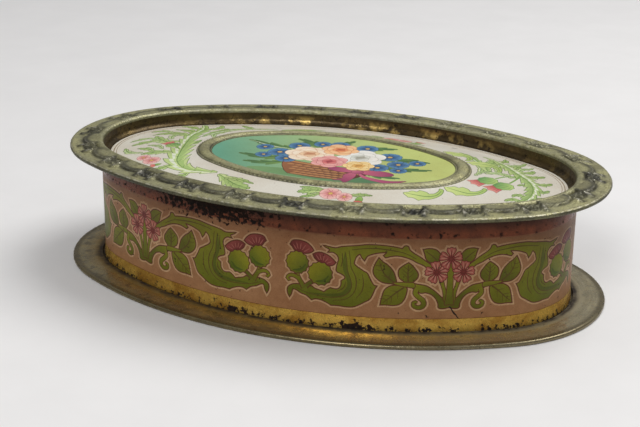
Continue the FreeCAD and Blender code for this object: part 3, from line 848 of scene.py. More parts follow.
def eased(share):
    """A smooth step from 0 to 1."""
    share = np.clip(share, 0.0, 1.0)
    return share * share * (3.0 - 2.0 * share)


def stamped(w, out):
    """Height, tarnish, and rub with painted glints, of the flange pattern.
    w is the distance from the middle of a swag, out the distance from the body line."""
    swag_half, swag_root, swag_depth = 6.7, 2.6, 4.0
    w = np.abs(w)
    out = np.full(len(w), out)
    lobe = np.sqrt(np.clip(1.0 - (w / swag_half) ** 2, 0.0, 1.0))
    lobe_edge = swag_root + swag_depth * lobe
    slope = 0.089 * w / np.maximum(lobe, 0.32)
    off = (out - lobe_edge) / np.sqrt(1.0 + slope**2)
    on_swag = eased((swag_half - w) / 0.6)
    fall = np.clip((out - 1.9) / np.maximum(lobe_edge - 1.9, 0.3), 0.0, 1.0)
    apron = eased(-off / 0.9) * (0.90 - 0.34 * fall**1.5) * on_swag
    cord = hump(off + 0.55, 0.55) * (0.62 + 0.06 * np.cos(2.0 * math.pi * (w + 0.8 * off) / 1.3)) * on_swag
    lean = w - (6.2 + 0.09 * (out - 5.0))
    drop_at = [1.2, 2.6, 3.9, 4.5, 5.2, 6.6, 7.8, 9.2]
    drop_half = np.interp(out, drop_at, [0.5, 0.7, 0.95, 0.55, 0.8, 1.15, 0.9, 0.05])
    ribs = 0.96 + 0.10 * np.cos(2.0 * math.pi * lean / 0.75)
    drop = hump(lean, drop_half) * eased((9.3 - out) / 0.6) * ribs
    drop *= np.interp(out, [5.0, 9.0], [1.0, 0.5])
    loop = np.hypot((w - 8.25) / 1.05, (out - 3.6) / 0.95)
    bow = hump(loop - 0.75, 0.42) * 0.66
    knot = hump(np.hypot(w - swag_unit / 2.0, out - 3.7), 0.85) * 0.84
    tail = hump(w - (9.1 - 0.26 * (out - 3.5)), 0.45)
    tail = tail * eased((out - 3.6) / 0.6) * eased((7.2 - out) / 0.8) * 0.62
    height = np.maximum.reduce([apron, cord, drop, bow, knot, tail])
    near_drop = np.clip(1.25 - np.abs(lean) / 1.6, 0.0, 1.0) * eased((9.8 - out) / 0.9)
    tarnish = np.maximum.reduce([
        0.98 * np.exp(-((off / 0.8) ** 2)) * on_swag,
        0.92 * np.exp(-(((off + 0.9) / 1.6) ** 2)) * on_swag,
        0.20 * eased(-off / 0.6) * on_swag,
        0.97 * near_drop - 0.30 * np.clip((drop - 0.7) / 0.3, 0.0, 1.0),
        eased((w - 5.4) / 0.8) * eased((8.2 - out) / 1.4) - 0.12 * np.clip((bow - 0.4) / 0.2, 0.0, 1.0),
        np.full(len(w), 0.05),
    ])
    # crests of the pendants and the edge of each swag: rubbed metal with painted glints
    crest = np.exp(-((lean / 0.30) ** 2)) * eased((out - 4.6) / 0.6) * eased((8.4 - out) / 0.8)
    rub_and_glint = np.maximum.reduce([
        crest,
        0.30 * np.exp(-(((off + 0.6) / 0.22) ** 2)) * on_swag,
        0.12 * np.clip((knot - 0.7) / 0.14, 0.0, 1.0),
        0.10 * np.clip((bow - 0.56) / 0.1, 0.0, 1.0),
    ])
    return height, tarnish, rub_and_glint


def wear(tarnish, rub_and_glint, count):
    """Tarnish, and rub with painted glints, at each point of a ring."""
    return np.column_stack([np.broadcast_to(tarnish, count), np.broadcast_to(rub_and_glint, count)])


pressing = Sheet()
tin_ink = np.array(srgb(150, 140, 96)[:3])
# curl of the rim, from its end under the flange up and over; its lower half is darkened as painted shade and
# a thin band above it is lightened as a painted highlight
rings, wears = [], []
for out, z in arc(lid_curl_out, lid_curl_z, curl_outside, -180, 90, 9):
    low = z < lid_curl_z + 0.4
    rings.append(ring(along_lid, out, z))
    wears.append(wear(0.9 if low else 0.3, 0.0 if low or z > lid_curl_z + 0.8 else 0.5, lid_columns))
# stamped flange and bead, from the rim inwards
flange_at = list(np.arange(10.3, bead_centre + bead_outside, -0.37))
bead_at = [out for out, z in arc(bead_centre, flange_under, bead_outside, 13.97, 90, 6)]
for out in flange_at + bead_at:
    high, tarnish, rub_and_glint = stamped(across, out)
    bead_z = flange_under + math.sqrt(max(bead_outside**2 - (out - bead_centre) ** 2, 0.0))
    proud = np.clip((bead_z - flange_top - high) / 0.3 + 0.4, 0.0, 1.0) if out in bead_at else 0.0
    rings.append(ring(along_lid, out, np.maximum(flange_top + high, bead_z if out in bead_at else 0.0)))
    wears.append(wear(tarnish * (1.0 - proud) + 0.30 * proud, rub_and_glint * (1.0 - proud), lid_columns))
for out, z in arc(bead_centre, flange_under, bead_outside, 90, 180, 5)[1:]:
    top = z > flange_under + 0.9
    rings.append(ring(along_lid, out, z))
    wears.append(wear(0.28 if top else 0.75, 0.22 if top else 0.0, lid_columns))
pressing.rows(rings, tin_ink, 0, wears)
# sunk wall and the cove at its foot
rings = [ring(along_lid, recess_face, z) for z in (flange_under, cove_z)]
rings += [ring(along_lid, out, z) for out, z in arc(cove_out, cove_z, cove_above, 0, -90, 8)[1:]]
pressing.rows(rings, tin_ink, 1)
panel_edge = rings[-1]


def oval_gap(spots, oval_sizes):
    """How far each place in plan is outside the oval, below nought inside."""
    half_length, half_width, end_radius = oval_sizes
    x, y = np.abs(spots[:, 0]), np.abs(spots[:, 1])
    side_radius = side_of(half_length, half_width, end_radius)
    drop = side_radius - half_width
    reach = half_length - end_radius
    at_end = reach * (y + drop) - drop * x < 0
    return np.where(at_end, np.hypot(x - reach, y) - end_radius, np.hypot(x, y + drop) - side_radius)


picture_oval = np.array([49.1, 29.1, 20.4])
dome_foot = np.array([82.0, 44.0, 28.0])
dome_top = 43.90


def dome(spots):
    """Height of the panel's top over places in plan.
    It is level in the picture and falls from there to the foot of the dome."""
    low, high = np.zeros(len(spots)), np.ones(len(spots))
    for _ in range(30):
        t = (low + high) / 2.0
        between = [picture_oval[i] + (dome_foot[i] - picture_oval[i]) * t for i in range(3)]
        outside = oval_gap(spots, between) > 0
        low, high = np.where(outside, t, low), np.where(outside, high, t)
    t = (low + high) / 2.0
    return dome_top - 1.5 * t - 1.4 * t**2


# raised frame: a row of small beads, a groove, a broad rounded band, a groove and a narrow lip
frame_outside = np.array([52.1, 31.2, 22.6])
frame_inside = np.array([46.1, 27.0, 18.2])
frame_columns = 600
round_frame = np.arange(frame_columns) / frame_columns
frame_outer = oval(*frame_outside, round_frame * oval_round(*frame_outside))[0]
frame_inner = oval(*frame_inside, round_frame * oval_round(*frame_inside))[0]
small_bead = 0.5 + 0.5 * np.cos(2.0 * math.pi * np.arange(frame_columns) / 4.0)
rings, wears = [], []
for share, high, tarnish, beaded in (
    (1.00, 0.00, 0.95, 0.0), (0.94, 0.42, 0.90, 0.7), (0.87, 0.62, 0.80, 0.7), (0.79, 0.46, 0.92, 0.7),
    (0.71, 0.32, 0.95, 0.0), (0.62, 0.60, 0.45, 0.0), (0.45, 0.86, 0.12, 0.0), (0.20, 1.06, 0.04, 0.0),
    (-0.10, 1.10, 0.02, 0.0), (-0.40, 1.02, 0.06, 0.0), (-0.62, 0.78, 0.30, 0.0), (-0.76, 0.34, 0.92, 0.0),
    (-0.84, 0.42, 0.55, 0.0), (-0.92, 0.40, 0.40, 0.0), (-1.00, 0.00, 0.85, 0.0),
):
    plan = frame_outer * (0.5 + 0.5 * share) + frame_inner * (0.5 - 0.5 * share)
    rings.append(np.column_stack([plan, dome(plan) + high * (1.0 - beaded * (1.0 - small_bead))]))
    wears.append(wear(tarnish - 0.8 * beaded * small_bead, 0.35 * beaded * small_bead, frame_columns))
pressing.rows(rings, tin_ink, 0, wears)

# print of the panel: a pale ground with scrolled leaves, thistles and blossoms, in plan
marks = []
cream_ink = flat_ink(220, 215, 201)
leaf_edge = flat_ink(102, 124, 66)
rib_ink = flat_ink(106, 138, 70)
stalk_ink = flat_ink(128, 164, 82)


def patch(loop, ink, edge=0.2, edge_ink=leaf_edge):
    """A printed shape with a thin darker outline."""
    if edge:
        marks.append((grown(loop, edge), edge_ink))
    marks.append((loop, ink))


def line_print(points, half, ink, step=0.8):
    """A printed line of the panel; half is its width to each side along the run."""
    marks.append((stroke(points, half, step), ink))


def acanthus(spine, half, lobes, light=(206, 218, 154), dark=(170, 196, 120), edge=0.26):
    """A scrolled leaf with toothed edges along a curved spine, darker on one side of its rib."""
    line = curve(spine, 0.6, False)
    ahead = np.gradient(line, axis=0)
    ahead /= np.linalg.norm(ahead, axis=1, keepdims=True)
    side = np.stack([-ahead[:, 1], ahead[:, 0]], 1)
    t = np.linspace(0, 1, len(line))
    wide = np.interp(t, np.linspace(0, 1, len(half)), half)[:, None]
    rims = []
    for way, start in ((1.0, 0.0), (-1.0, 0.5)):
        tooth = np.mod(lobes * t + start, 1.0)[:, None]
        rims.append(line + side * way * wide * (0.46 + 0.70 * tooth**0.8) + ahead * wide * 0.5 * tooth)
    loop = np.concatenate([rims[0], rims[1][::-1]])
    patch(loop, shade(light, dark, loop[0], loop[len(loop) // 3]), edge)
    shadow = np.concatenate([line, (0.4 * line + 0.6 * rims[1])[::-1]])
    marks.append((shadow, shade(dark, [0.9 * tone for tone in dark], line[0], line[-1])))
    glow = np.concatenate([0.75 * line + 0.25 * rims[0], (0.4 * line + 0.6 * rims[0])[::-1]])
    if len(line) > 40:
        marks.append((glow, flat_ink(*[0.35 * tone + 0.65 * 238 for tone in light])))
    marks.append((stroke(line[::3] if len(line) > 9 else line, (0.1, 0.22, 0.08), 0.8), rib_ink))
    for share in np.arange(0.5, lobes, 1.0) / lobes:
        i = int(share * (len(line) - 1))
        for way in (-1, 1):
            tip = line[i] + side[i] * way * wide[i] * 0.72 + ahead[i] * wide[i] * 0.6
            bend = (line[i] + tip) / 2 + ahead[i] * 0.15
            line_print([tuple(line[i]), tuple(bend), tuple(tip)], (0.1, 0.09, 0.04), rib_ink)


def disc(x, y, across, up, bumps=0, count=18):
    """A round outline, with bumps round its edge where wanted."""
    turn = np.arange(count) * 2 * math.pi / count
    swell = 1.0 + (0.06 * np.cos(turn * bumps) if bumps else 0.0)
    return np.stack([x + across * swell * np.cos(turn), y + up * swell * np.sin(turn)], 1)


def turned(x, y, size, way):
    """Gives a rule that lays points drawn along +X, about nought, at a place.
    size scales them and way turns them, in degrees."""
    c, d = math.cos(math.radians(way)), math.sin(math.radians(way))

    def at(forward, aside, *corner):
        return (x + size * (forward * c - aside * d), y + size * (forward * d + aside * c)) + corner

    return at


def thistle(x, y, size, way):
    """A green bulb with a red tuft that points along way."""
    at = turned(x, y, size, way)
    tuft = curve([
        at(0.7, 0.5), at(1.4, 0.75), at(1.95, 0.95, 1), at(1.9, 0.4), at(2.15, 0.0, 1), at(1.9, -0.4),
        at(1.95, -0.95, 1), at(1.4, -0.75), at(0.7, -0.5),
    ], 0.6)
    patch(tuft, shade((186, 84, 82), (226, 148, 136), at(0.8, 0), at(2.0, 0)), 0.18, flat_ink(142, 88, 78))
    for aside in (-0.5, -0.17, 0.17, 0.5):
        line_print([at(0.9, aside * 0.6), at(1.8, aside * 1.2)], (0.06, 0.12, 0.05), flat_ink(168, 66, 66))
    bulb = disc(x, y, size, size, 9, 27)
    green = shade((182, 208, 122), (104, 158, 88), at(-0.6, 0.8), at(0.5, -0.8))
    patch(bulb, green, 0.2, flat_ink(84, 122, 66))
    for aside in (-0.6, -0.2, 0.2, 0.6):
        line_print([at(-0.6, aside * 0.8), at(0.1, aside * 1.2), at(0.75, aside * 0.8)], (0.05, 0.13, 0.05),
                   flat_ink(98, 142, 76))


def blossom(x, y, size, turn=0.0, light=(240, 196, 188), dark=(212, 122, 120), count=5):
    """An open flower, seen from the front."""
    edge_ink = flat_ink(*[0.82 * tone for tone in dark])
    petal_edge = ((0.05, 0), (0.45, 0.42), (0.85, 0.46), (0.95, 0.0), (0.85, -0.46), (0.45, -0.42))
    for i in range(count):
        at = turned(x, y, size, turn + 360.0 / count * i)
        petal = curve([at(*spot) for spot in petal_edge], 0.6)
        patch(petal, shade(dark, light, at(0.1, 0), at(0.9, 0)), 0.16, edge_ink)
        line_print([at(0.2, 0), at(0.75, 0)], (0.14, 0.1, 0.04), flat_ink(*[0.86 * tone for tone in dark]))
    patch(disc(x, y, 0.2 * size, 0.2 * size, 0, 8), flat_ink(214, 178, 96), 0.1, flat_ink(150, 96, 70))


def bud(x, y, size, way):
    """A half-open flower in a green cup."""
    at = turned(x, y, size, way)
    petals = curve([
        at(-0.2, 0.0), at(0.5, 0.6), at(1.3, 0.85, 1), at(1.2, 0.3), at(1.6, 0.0, 1), at(1.2, -0.3),
        at(1.3, -0.85, 1), at(0.5, -0.6),
    ], 0.6)
    patch(petals, shade((196, 76, 70), (232, 144, 128), at(0, 0), at(1.5, 0)), 0.16, flat_ink(156, 78, 70))
    cup_edge = ((-1.1, 0.0), (-0.4, 0.5), (0.3, 0.45), (0.1, 0.0), (0.3, -0.45), (-0.4, -0.5))
    cup = curve([at(*spot) for spot in cup_edge], 0.6)
    patch(cup, shade((160, 194, 100), (112, 156, 76), at(-1, 0.4), at(0.3, -0.4)), 0.16)


marks.append((np.array([(-100, -60), (100, -60), (100, 60), (-100, 60)], float), cream_ink))
for inset, half in ((4.5, 0.16), (5.5, 0.10)):
    sizes = tuple(size - inset for size in body_oval)
    outer, facing = oval(*sizes, np.arange(300) * oval_round(*sizes) / 300)
    marks.append((outer + facing * half, flat_ink(146, 122, 84)))
    marks.append((outer - facing * half, cream_ink))
# right end: a long scrolled leaf that turns round a pair of thistles, with curled leaves off both its sides
for spine, half in (
    ([(63.0, 17.0), (64.5, 22.0), (62.5, 27.0)], (1.0, 1.9, 0.15)),
    ([(68.5, 11.0), (73.0, 13.0), (75.5, 17.0)], (0.9, 1.7, 0.15)),
    ([(66.0, 14.0), (70.0, 17.5), (70.5, 22.0)], (0.9, 1.6, 0.15)),
    ([(73.0, 5.0), (77.5, 6.5), (79.5, 10.0)], (0.9, 1.6, 0.15)),
    ([(75.3, -2.0), (78.6, -1.5), (80.2, 1.5)], (0.8, 1.4, 0.15)),
    ([(75.4, -8.0), (78.0, -9.0), (79.2, -7.0)], (0.7, 1.1, 0.15)),
    ([(74.6, -10.0), (71.6, -9.0), (70.0, -11.5)], (0.8, 1.3, 0.15)),
    ([(74.0, -14.0), (70.6, -14.0), (68.6, -16.5)], (0.8, 1.3, 0.15)),
    ([(74.0, 0.0), (71.0, 1.5), (69.5, -0.5)], (0.7, 1.1, 0.15)),
    ([(56.5, 24.5), (58.5, 28.5), (57.5, 32.0)], (0.8, 1.6, 0.15)),
):
    acanthus(spine, half, 3)
for spine, half in (
    ([(54.5, 4.0), (53.6, 10.0), (51.0, 17.5), (46.0, 25.0), (41.0, 29.5)], (0.4, 1.3, 1.7, 1.6, 0.2)),
    ([(61.5, 8.0), (59.0, 13.0), (59.5, 19.0), (64.0, 25.5), (66.0, 30.0)], (0.4, 1.7, 2.2, 1.6, 0.2)),
    ([(58.5, 6.0), (55.6, 10.5), (54.2, 16.0), (55.6, 22.0), (53.0, 28.0)], (0.4, 2.0, 2.8, 2.4, 0.2)),
):
    acanthus(spine, half, 6)
for spine, half in (
    ([(56.4, 5.6), (60.5, 8.6), (66.4, 7.0)], (0.5, 1.9, 0.2)),
    ([(66.2, 16.0), (66.6, 20.5), (69.6, 25.4)], (0.6, 1.5, 0.15)),
    ([(53.6, 1.5), (54.8, 6.5), (57.6, 9.5)], (0.4, 1.2, 0.15)),
    ([(64.8, 6.0), (67.8, 9.4), (67.4, 13.0)], (0.5, 1.3, 0.15)),
):
    acanthus(spine, half, 4, (216, 226, 176), (186, 208, 144))
acanthus([
    (50, 30), (56, 25), (61, 19.5), (66, 13), (71, 7.5), (74.3, 1.5), (75.5, -5), (75, -11), (72.6, -17),
], (0.4, 1.6, 2.4, 2.9, 3.0, 2.9, 2.6, 1.9, 0.2), 13)
line_print([(68.0, 11.0), (67.4, 5.0), (66.4, 0.0)], (0.45, 0.4, 0.4), stalk_ink)
line_print([(66.8, 9.0), (63.4, 6.0), (60.8, 2.0)], (0.45, 0.4, 0.4), stalk_ink)
thistle(65.2, -3.9, 3.5, -122.0)
thistle(59.0, -1.5, 3.5, -127.0)
# curled leaves round the frame, front and back alike
curled_leaf = [
    (0.0, 0.0), (1.8, -3.0, 1), (3.6, -3.2), (5.4, -4.8, 1), (7.2, -3.8), (9.0, -3.6, 1), (11.2, -2.0),
    (13.2, 0.8), (13.8, 4.4), (12.6, 5.4), (12.3, 3.4), (10.8, 1.0), (8.8, 0.4, 1), (7.8, 1.8),
    (5.6, 2.8, 1), (4.6, 1.4), (3.0, 2.0), (1.6, 0.8),
]
curled_rib = [(0.8, 0.0), (4.4, -1.0), (8.4, -1.6), (11.6, 0.0), (13.1, 3.6)]
for up in (1.0, -1.0):
    for x, y, way, size in ((47.0, -15.2, 0.0, 1.0), (35.4, -25.6, 14.0, 0.97)):
        at = turned(x, y, size, way)
        loop = np.array(curve([at(*spot) for spot in curled_leaf], 0.6)) * (1.0, up)
        patch(loop, shade((210, 222, 142), (168, 194, 106), loop[0], loop[len(loop) // 2]), 0.26)
        rib = np.array([at(*spot) for spot in curled_rib]) * (1.0, up)
        line_print([tuple(spot) for spot in rib], (0.1, 0.26, 0.1), rib_ink)
    # blossoms and a bud at the middle of the long sides
    acanthus([(9.5, -34.0 * up), (5.6, -34.2 * up), (1.0, -36.6 * up)], (0.5, 2.6, 0.2), 5)
    acanthus([(9.2, -32.8 * up), (5.2, -32.2 * up), (0.6, -33.0 * up)], (0.3, 1.2, 0.1), 4)
    acanthus([(9.0, -35.4 * up), (6.4, -37.6 * up), (3.0, -39.4 * up)], (0.3, 1.2, 0.1), 4)
    acanthus([(19.0, -33.6 * up), (22.4, -32.2 * up), (26.0, -31.6 * up)], (0.4, 1.2, 0.1), 4)
    line_print([(18.0, -35.0 * up), (20.6, -34.0 * up), (22.6, -34.4 * up)], (0.25, 0.22, 0.2), stalk_ink)
    blossom(12.2, -34.6 * up, 3.9, 20.0)
    blossom(17.4, -35.4 * up, 2.8, 50.0)
    bud(22.8, -35.8 * up, 2.2, -84.0 * up)
    # broad leaf left of the middle
    acanthus([(-31.5, -29.8 * up), (-27.0, -33.2 * up), (-22.5, -36.2 * up), (-16.4, -38.2 * up)],
             (0.6, 3.2, 2.7, 0.2), 6)
    acanthus([(-28.0, -32.4 * up), (-22.5, -32.6 * up), (-16.5, -34.6 * up)], (0.5, 1.2, 0.1), 4)
# left end: a broad leaf along the frame, with blossoms, a thistle and smaller leaves beyond it
for spine, half in (
    ([(-60.0, 2.0), (-66.0, -0.5), (-70.5, 2.0), (-75.0, 7.5)], (0.8, 2.6, 2.6, 0.2)),
    ([(-60.5, 8.0), (-66.0, 11.5), (-71.5, 13.0), (-77.5, 9.5)], (0.8, 2.4, 2.2, 0.2)),
    ([(-69.0, 1.0), (-74.0, -1.0), (-78.4, -6.5)], (0.6, 2.1, 0.2)),
    ([(-57.5, -12.5), (-63.0, -13.0), (-69.5, -16.0)], (0.8, 2.6, 0.2)),
    ([(-66.0, -13.0), (-70.0, -10.0), (-74.0, -10.0)], (0.6, 1.7, 0.2)),
    ([(-61.0, 13.0), (-66.5, 19.0), (-73.0, 21.0)], (0.7, 2.4, 0.2)),
    ([(-60.5, 20.0), (-57.5, 26.0), (-58.5, 33.0)], (0.7, 2.4, 0.2)),
    ([(-55.0, 12.0), (-52.0, 18.5), (-53.5, 27.0)], (0.7, 2.6, 0.2)),
    ([(-62.0, 22.0), (-68.0, 26.0), (-73.0, 26.0)], (0.7, 1.7, 0.2)),
    ([(-52.0, -23.0), (-54.5, -27.0), (-59.5, -29.5)], (0.7, 1.6, 0.2)),
    ([(-44.0, -28.5), (-44.0, -32.2), (-49.0, -34.2)], (0.6, 1.4, 0.2)),
    ([(-46.0, 28.0), (-46.0, 33.0), (-51.0, 36.0)], (0.6, 1.6, 0.2)),
    ([(-58.5, -4.0), (-54.8, -1.0), (-54.2, 4.0)], (0.6, 1.2, 0.15)),
):
    acanthus(spine, half, 4)
for spine, half in (
    ([(-72.0, 3.0), (-77.5, 3.5), (-81.6, -1.5)], (0.5, 1.6, 0.15)),
    ([(-70.5, 13.0), (-76.0, 17.0), (-80.4, 14.0)], (0.5, 1.7, 0.15)),
    ([(-66.5, 3.5), (-68.5, 8.0), (-66.0, 12.5)], (0.5, 1.5, 0.15)),
    ([(-70.0, -14.5), (-75.5, -14.5), (-79.4, -10.0)], (0.5, 1.5, 0.15)),
    ([(-64.0, -9.5), (-67.5, -6.0), (-72.0, -5.5)], (0.4, 1.4, 0.15)),
    ([(-50.5, 8.0), (-53.0, 13.0), (-51.5, 19.0)], (0.4, 1.2, 0.15)),
):
    acanthus(spine, half, 4, (216, 226, 178), (190, 210, 150))
acanthus([
    (-33.0, 29.8), (-42.0, 29.0), (-49.5, 24.4), (-54.0, 17.0), (-56.0, 9.0),
], (0.4, 1.8, 2.4, 2.0, 0.3), 7)
acanthus([
    (-33, -28.6), (-45, -27.6), (-52, -21.6), (-55.4, -12), (-58, -2), (-60.6, 10), (-61, 21), (-66, 32),
], (0.6, 3.0, 4.4, 4.2, 3.4, 3.0, 2.6, 0.2), 13, (208, 222, 152), (172, 200, 120))
line_print([(-57.0, -9.0), (-59.4, -6.6), (-61.4, -5.0)], (0.4, 0.35, 0.3), stalk_ink)
thistle(-62.0, -4.6, 2.7, 140.0)
blossom(-62.4, -21.6, 3.3, 15.0)
blossom(-66.8, -19.4, 2.6, 40.0)
bud(-58.6, -25.2, 1.6, 215.0)


def held_clear(loop, oval_sizes, least, outside):
    """Moves the points of a mark that come too near an oval edge just clear of it."""
    half_length, half_width, end_radius = oval_sizes
    side_radius = side_of(half_length, half_width, end_radius)
    gap = oval_gap(loop, oval_sizes)
    x, y = np.abs(loop[:, 0]), np.abs(loop[:, 1])
    drop = side_radius - half_width
    at_end = (half_length - end_radius) * (y + drop) - drop * x < 0
    hub = np.stack([np.where(at_end, half_length - end_radius, 0.0), np.where(at_end, 0.0, -drop)], 1)
    away = np.stack([x, y], 1) - hub
    away /= np.maximum(np.linalg.norm(away, axis=1, keepdims=True), 1e-9)
    radius = np.where(at_end, end_radius, side_radius)[:, None]
    edge = hub + away * (radius + (least if outside else -least))
    moved = (gap < least) if outside else (gap > -least)
    return np.where(moved[:, None], edge * np.where(loop < 0, -1.0, 1.0), loop)


def keep_panel(spots):
    return (oval_gap(spots, panel_oval) < 0) & (oval_gap(spots, frame_outside) > 0)


grid = np.array([(x, y) for x in np.arange(-85, 86, 3.0) for y in np.arange(-48, 49, 3.0)])
grid = grid[(oval_gap(grid, panel_oval) < -0.8) & (oval_gap(grid, frame_outside) > 0.8)]
marks = marks[:1] + [(held_clear(loop, frame_outside, 0.45, True), ink) for loop, ink in marks[1:]]
marks = marks[:1] + [(held_clear(loop, panel_oval, 0.45, False), ink) for loop, ink in marks[1:]]
flat, faces, inks = cut_print([panel_edge[:, :2], frame_outer], marks, grid, keep_panel)
pressing.add(np.column_stack([flat, dome(flat)]), faces, inks, 2)

# print of the picture: a wicker basket of garden flowers on a green ground, tied with a ribbon
marks = [(np.array([(-60, -40), (60, -40), (60, 40), (-60, 40)], float),
          shade((104, 166, 138), (196, 206, 122), (-40, -10), (20, 22)))]


def rose(x, y, size, light, mid, dark, turn=0.0):
    """A full rose: three rounds of petals and a folded heart."""
    rounds = ((0.62, 0.46, 6, light, mid), (0.38, 0.38, 5, light, mid), (0.16, 0.26, 4, mid, dark))
    for ring_at, petal_size, count, outer, inner in rounds:
        for i in range(count):
            way = math.radians(turn + 360.0 * i / count + ring_at * 90)
            px, py = x + size * ring_at * math.cos(way), y + size * ring_at * math.sin(way)
            loop = disc(px, py, size * petal_size, size * petal_size * 0.92, 0, 20)
            start = (x + (px - x) * 0.3, y + (py - y) * 0.3)
            end = (px + (px - x) * 0.7, py + (py - y) * 0.7)
            patch(loop, shade(inner, outer, start, end), 0.16, flat_ink(*dark))
    heart = [(x - 0.16 * size, y), (x - 0.02 * size, y + 0.14 * size), (x + 0.15 * size, y + 0.02 * size),
             (x + 0.02 * size, y - 0.1 * size)]
    line_print(heart, (0.1, 0.24, 0.1), flat_ink(*dark))


patch(disc(2.0, -20.6, 27.0, 4.2, 0, 40), shade((120, 158, 104), (84, 126, 88), (-20, -20), (24, -22)), 0)
for spine, half in (
    ([(-4, 8), (-12, 15), (-20, 19)], (1.2, 3.0, 0.3)),
    ([(6, 10), (11, 17), (19, 20)], (1.2, 2.8, 0.3)),
    ([(14, 4), (24, 8), (35, 8)], (1.2, 2.8, 0.3)),
    ([(-12, -3), (-23, -7), (-34, -6)], (1.2, 3.0, 0.3)),
    ([(-12, -8), (-20, -13), (-29, -14)], (1.2, 2.6, 0.3)),
    ([(15, -8), (22, -13), (30, -13)], (1.0, 2.4, 0.3)),
    ([(-12, 6), (-24, 7), (-37, 11)], (1.0, 2.6, 0.3)),
    ([(16, -2), (27, -3), (38, 0)], (1.0, 2.6, 0.3)),
    ([(2, 12), (-1, 18), (1, 24)], (1.0, 2.4, 0.3)),
):
    acanthus(spine, half, 4, (138, 170, 82), (74, 116, 70), 0.2)
basket = curve([
    (-15.5, -7.5, 1), (-14.2, -13.0), (-11.0, -19.0), (-8.6, -21.8, 1), (2.0, -22.8), (12.6, -21.8, 1),
    (15.0, -19.0), (18.2, -13.0), (19.5, -7.5, 1), (2.0, -9.5),
], 0.8)
patch(basket, shade((156, 102, 62), (88, 50, 34), (-14, -8), (17, -20)), 0.22, flat_ink(62, 36, 26))
for row, y in enumerate((-11.4, -13.8, -16.2, -18.6, -20.8)):
    reach = 15.6 + (y + 11.4) * 0.55
    for i in range(9):
        x = 2.0 - reach + (i + 0.25 + 0.5 * (row % 2)) * reach * 2.0 / 9.5
        bow = -0.9 * (1.0 - ((x - 2.0) / 17.0) ** 2)
        cane = [(x, y + bow), (x + 1.3, y + bow + 0.35), (x + 2.6, y + bow)]
        line_print(cane, (0.25, 0.75, 0.25), flat_ink(184, 132, 84))
rim = [(-16.4, -7.2), (-8.0, -9.0), (2.0, -9.7), (12.0, -9.0), (20.4, -7.2)]
line_print(rim, (1.2, 1.3, 1.2), flat_ink(96, 54, 36))
line_print(rim, (0.7, 0.9, 0.7), flat_ink(188, 130, 80))
for bow_loop in (
    [(14, -11), (19, -8), (25, -8.2), (27, -11), (23, -13.4), (17, -13)],
    [(14, -11), (9, -8.6), (4, -9), (3, -11.4), (7, -13.2), (12, -12.8)],
    [(14.5, -12), (19, -15.5), (27, -17), (33, -15), (31.4, -17.8), (34, -19.6), (27, -20), (18, -17.2)],
    [(13, -12), (10.5, -16), (11.2, -20), (8.6, -23), (11.4, -22.4), (13.4, -24), (14.6, -20), (14.6, -15)],
):
    ribbon = curve(bow_loop, 0.8)
    silk = shade((206, 108, 132), (148, 60, 98), ribbon[0], ribbon[len(ribbon) // 2])
    patch(ribbon, silk, 0.18, flat_ink(116, 50, 76))
knot = disc(14.0, -11.6, 2.2, 1.9, 0, 14)
patch(knot, shade((214, 122, 142), (152, 64, 100), (12, -10), (16, -13)), 0.18, flat_ink(116, 50, 76))
for x, y, size, turn in (
    (-16.5, 10.5, 4.2, 0), (-20.5, 0.5, 4.6, 30), (19.5, 9.5, 4.6, 10), (25.0, 2.0, 4.2, 40),
    (8.5, 16.5, 4.2, 20), (-2.5, 17.0, 3.8, 50), (19.0, -4.0, 4.2, 15), (-15.5, -6.0, 4.2, 25),
    (31.0, 6.0, 3.2, 5), (-28.0, 4.5, 3.4, 35), (-9.0, 15.5, 3.4, 12), (27.0, -4.5, 3.2, 28),
    (-25.0, -4.5, 3.2, 44),
):
    blossom(x, y, size, turn, (94, 142, 182), (36, 76, 122), 5)
rose(-9.5, 2.5, 8.6, (250, 234, 210), (242, 206, 166), (200, 140, 102), 10.0)
rose(9.5, 4.8, 9.0, (248, 246, 238), (226, 228, 218), (172, 170, 154), 35.0)
rose(-0.5, 11.4, 6.6, (250, 208, 156), (238, 158, 104), (194, 98, 64), 5.0)
rose(0.5, -3.6, 6.6, (242, 184, 176), (224, 126, 124), (172, 72, 78), 50.0)
rose(12.0, -4.6, 5.4, (252, 226, 164), (242, 194, 112), (196, 142, 70), 20.0)
grid = np.array([(x, y) for x in np.arange(-48, 49, 3.0) for y in np.arange(-27, 28, 3.0)])
grid = grid[oval_gap(grid, frame_inside) < -0.8]
marks = marks[:1] + [(held_clear(loop, frame_inside, 0.45, False), ink) for loop, ink in marks[1:]]
flat, faces, inks = cut_print([frame_inner], marks, grid, lambda spots: oval_gap(spots, frame_inside) < 0)
pressing.add(np.column_stack([flat, dome(flat)]), faces, inks, 2)

# underside of the pressing, from the panel out to the curl
rings = [ring(along_lid, out, z) for out, z in arc(cove_out, cove_z, cove_below, -90, 0, 5)]
panel_below = rings[0]
rings.append(ring(along_lid, plug_face, flange_under))
rings += [ring(along_lid, out, z) for out, z in arc(bead_centre, flange_under, bead_inside, 180, 0, 6)[1:]]
for out in np.linspace(2.0, 10.3, 6):
    high = stamped(across, out)[0]
    rings.append(ring(along_lid, out, flange_under + 0.75 * high))
rings += [ring(along_lid, out, z) for out, z in arc(lid_curl_out, lid_curl_z, curl_inside, 90, -180, 6)]
rings.append(ring(along_lid, lid_curl_out - curl_outside, lid_curl_z))
pressing.rows(rings, tin_ink, 3)
grid = np.array([(x, y) for x in np.arange(-84, 85, 6.0) for y in np.arange(-48, 49, 6.0)])
grid = grid[oval_gap(grid, panel_oval) < -2]
bare_mark = [(np.array([(-100, -60), (100, -60), (100, 60), (-100, 60)], float), flat_ink(170, 168, 160))]
panel_line = panel_below[:, :2]
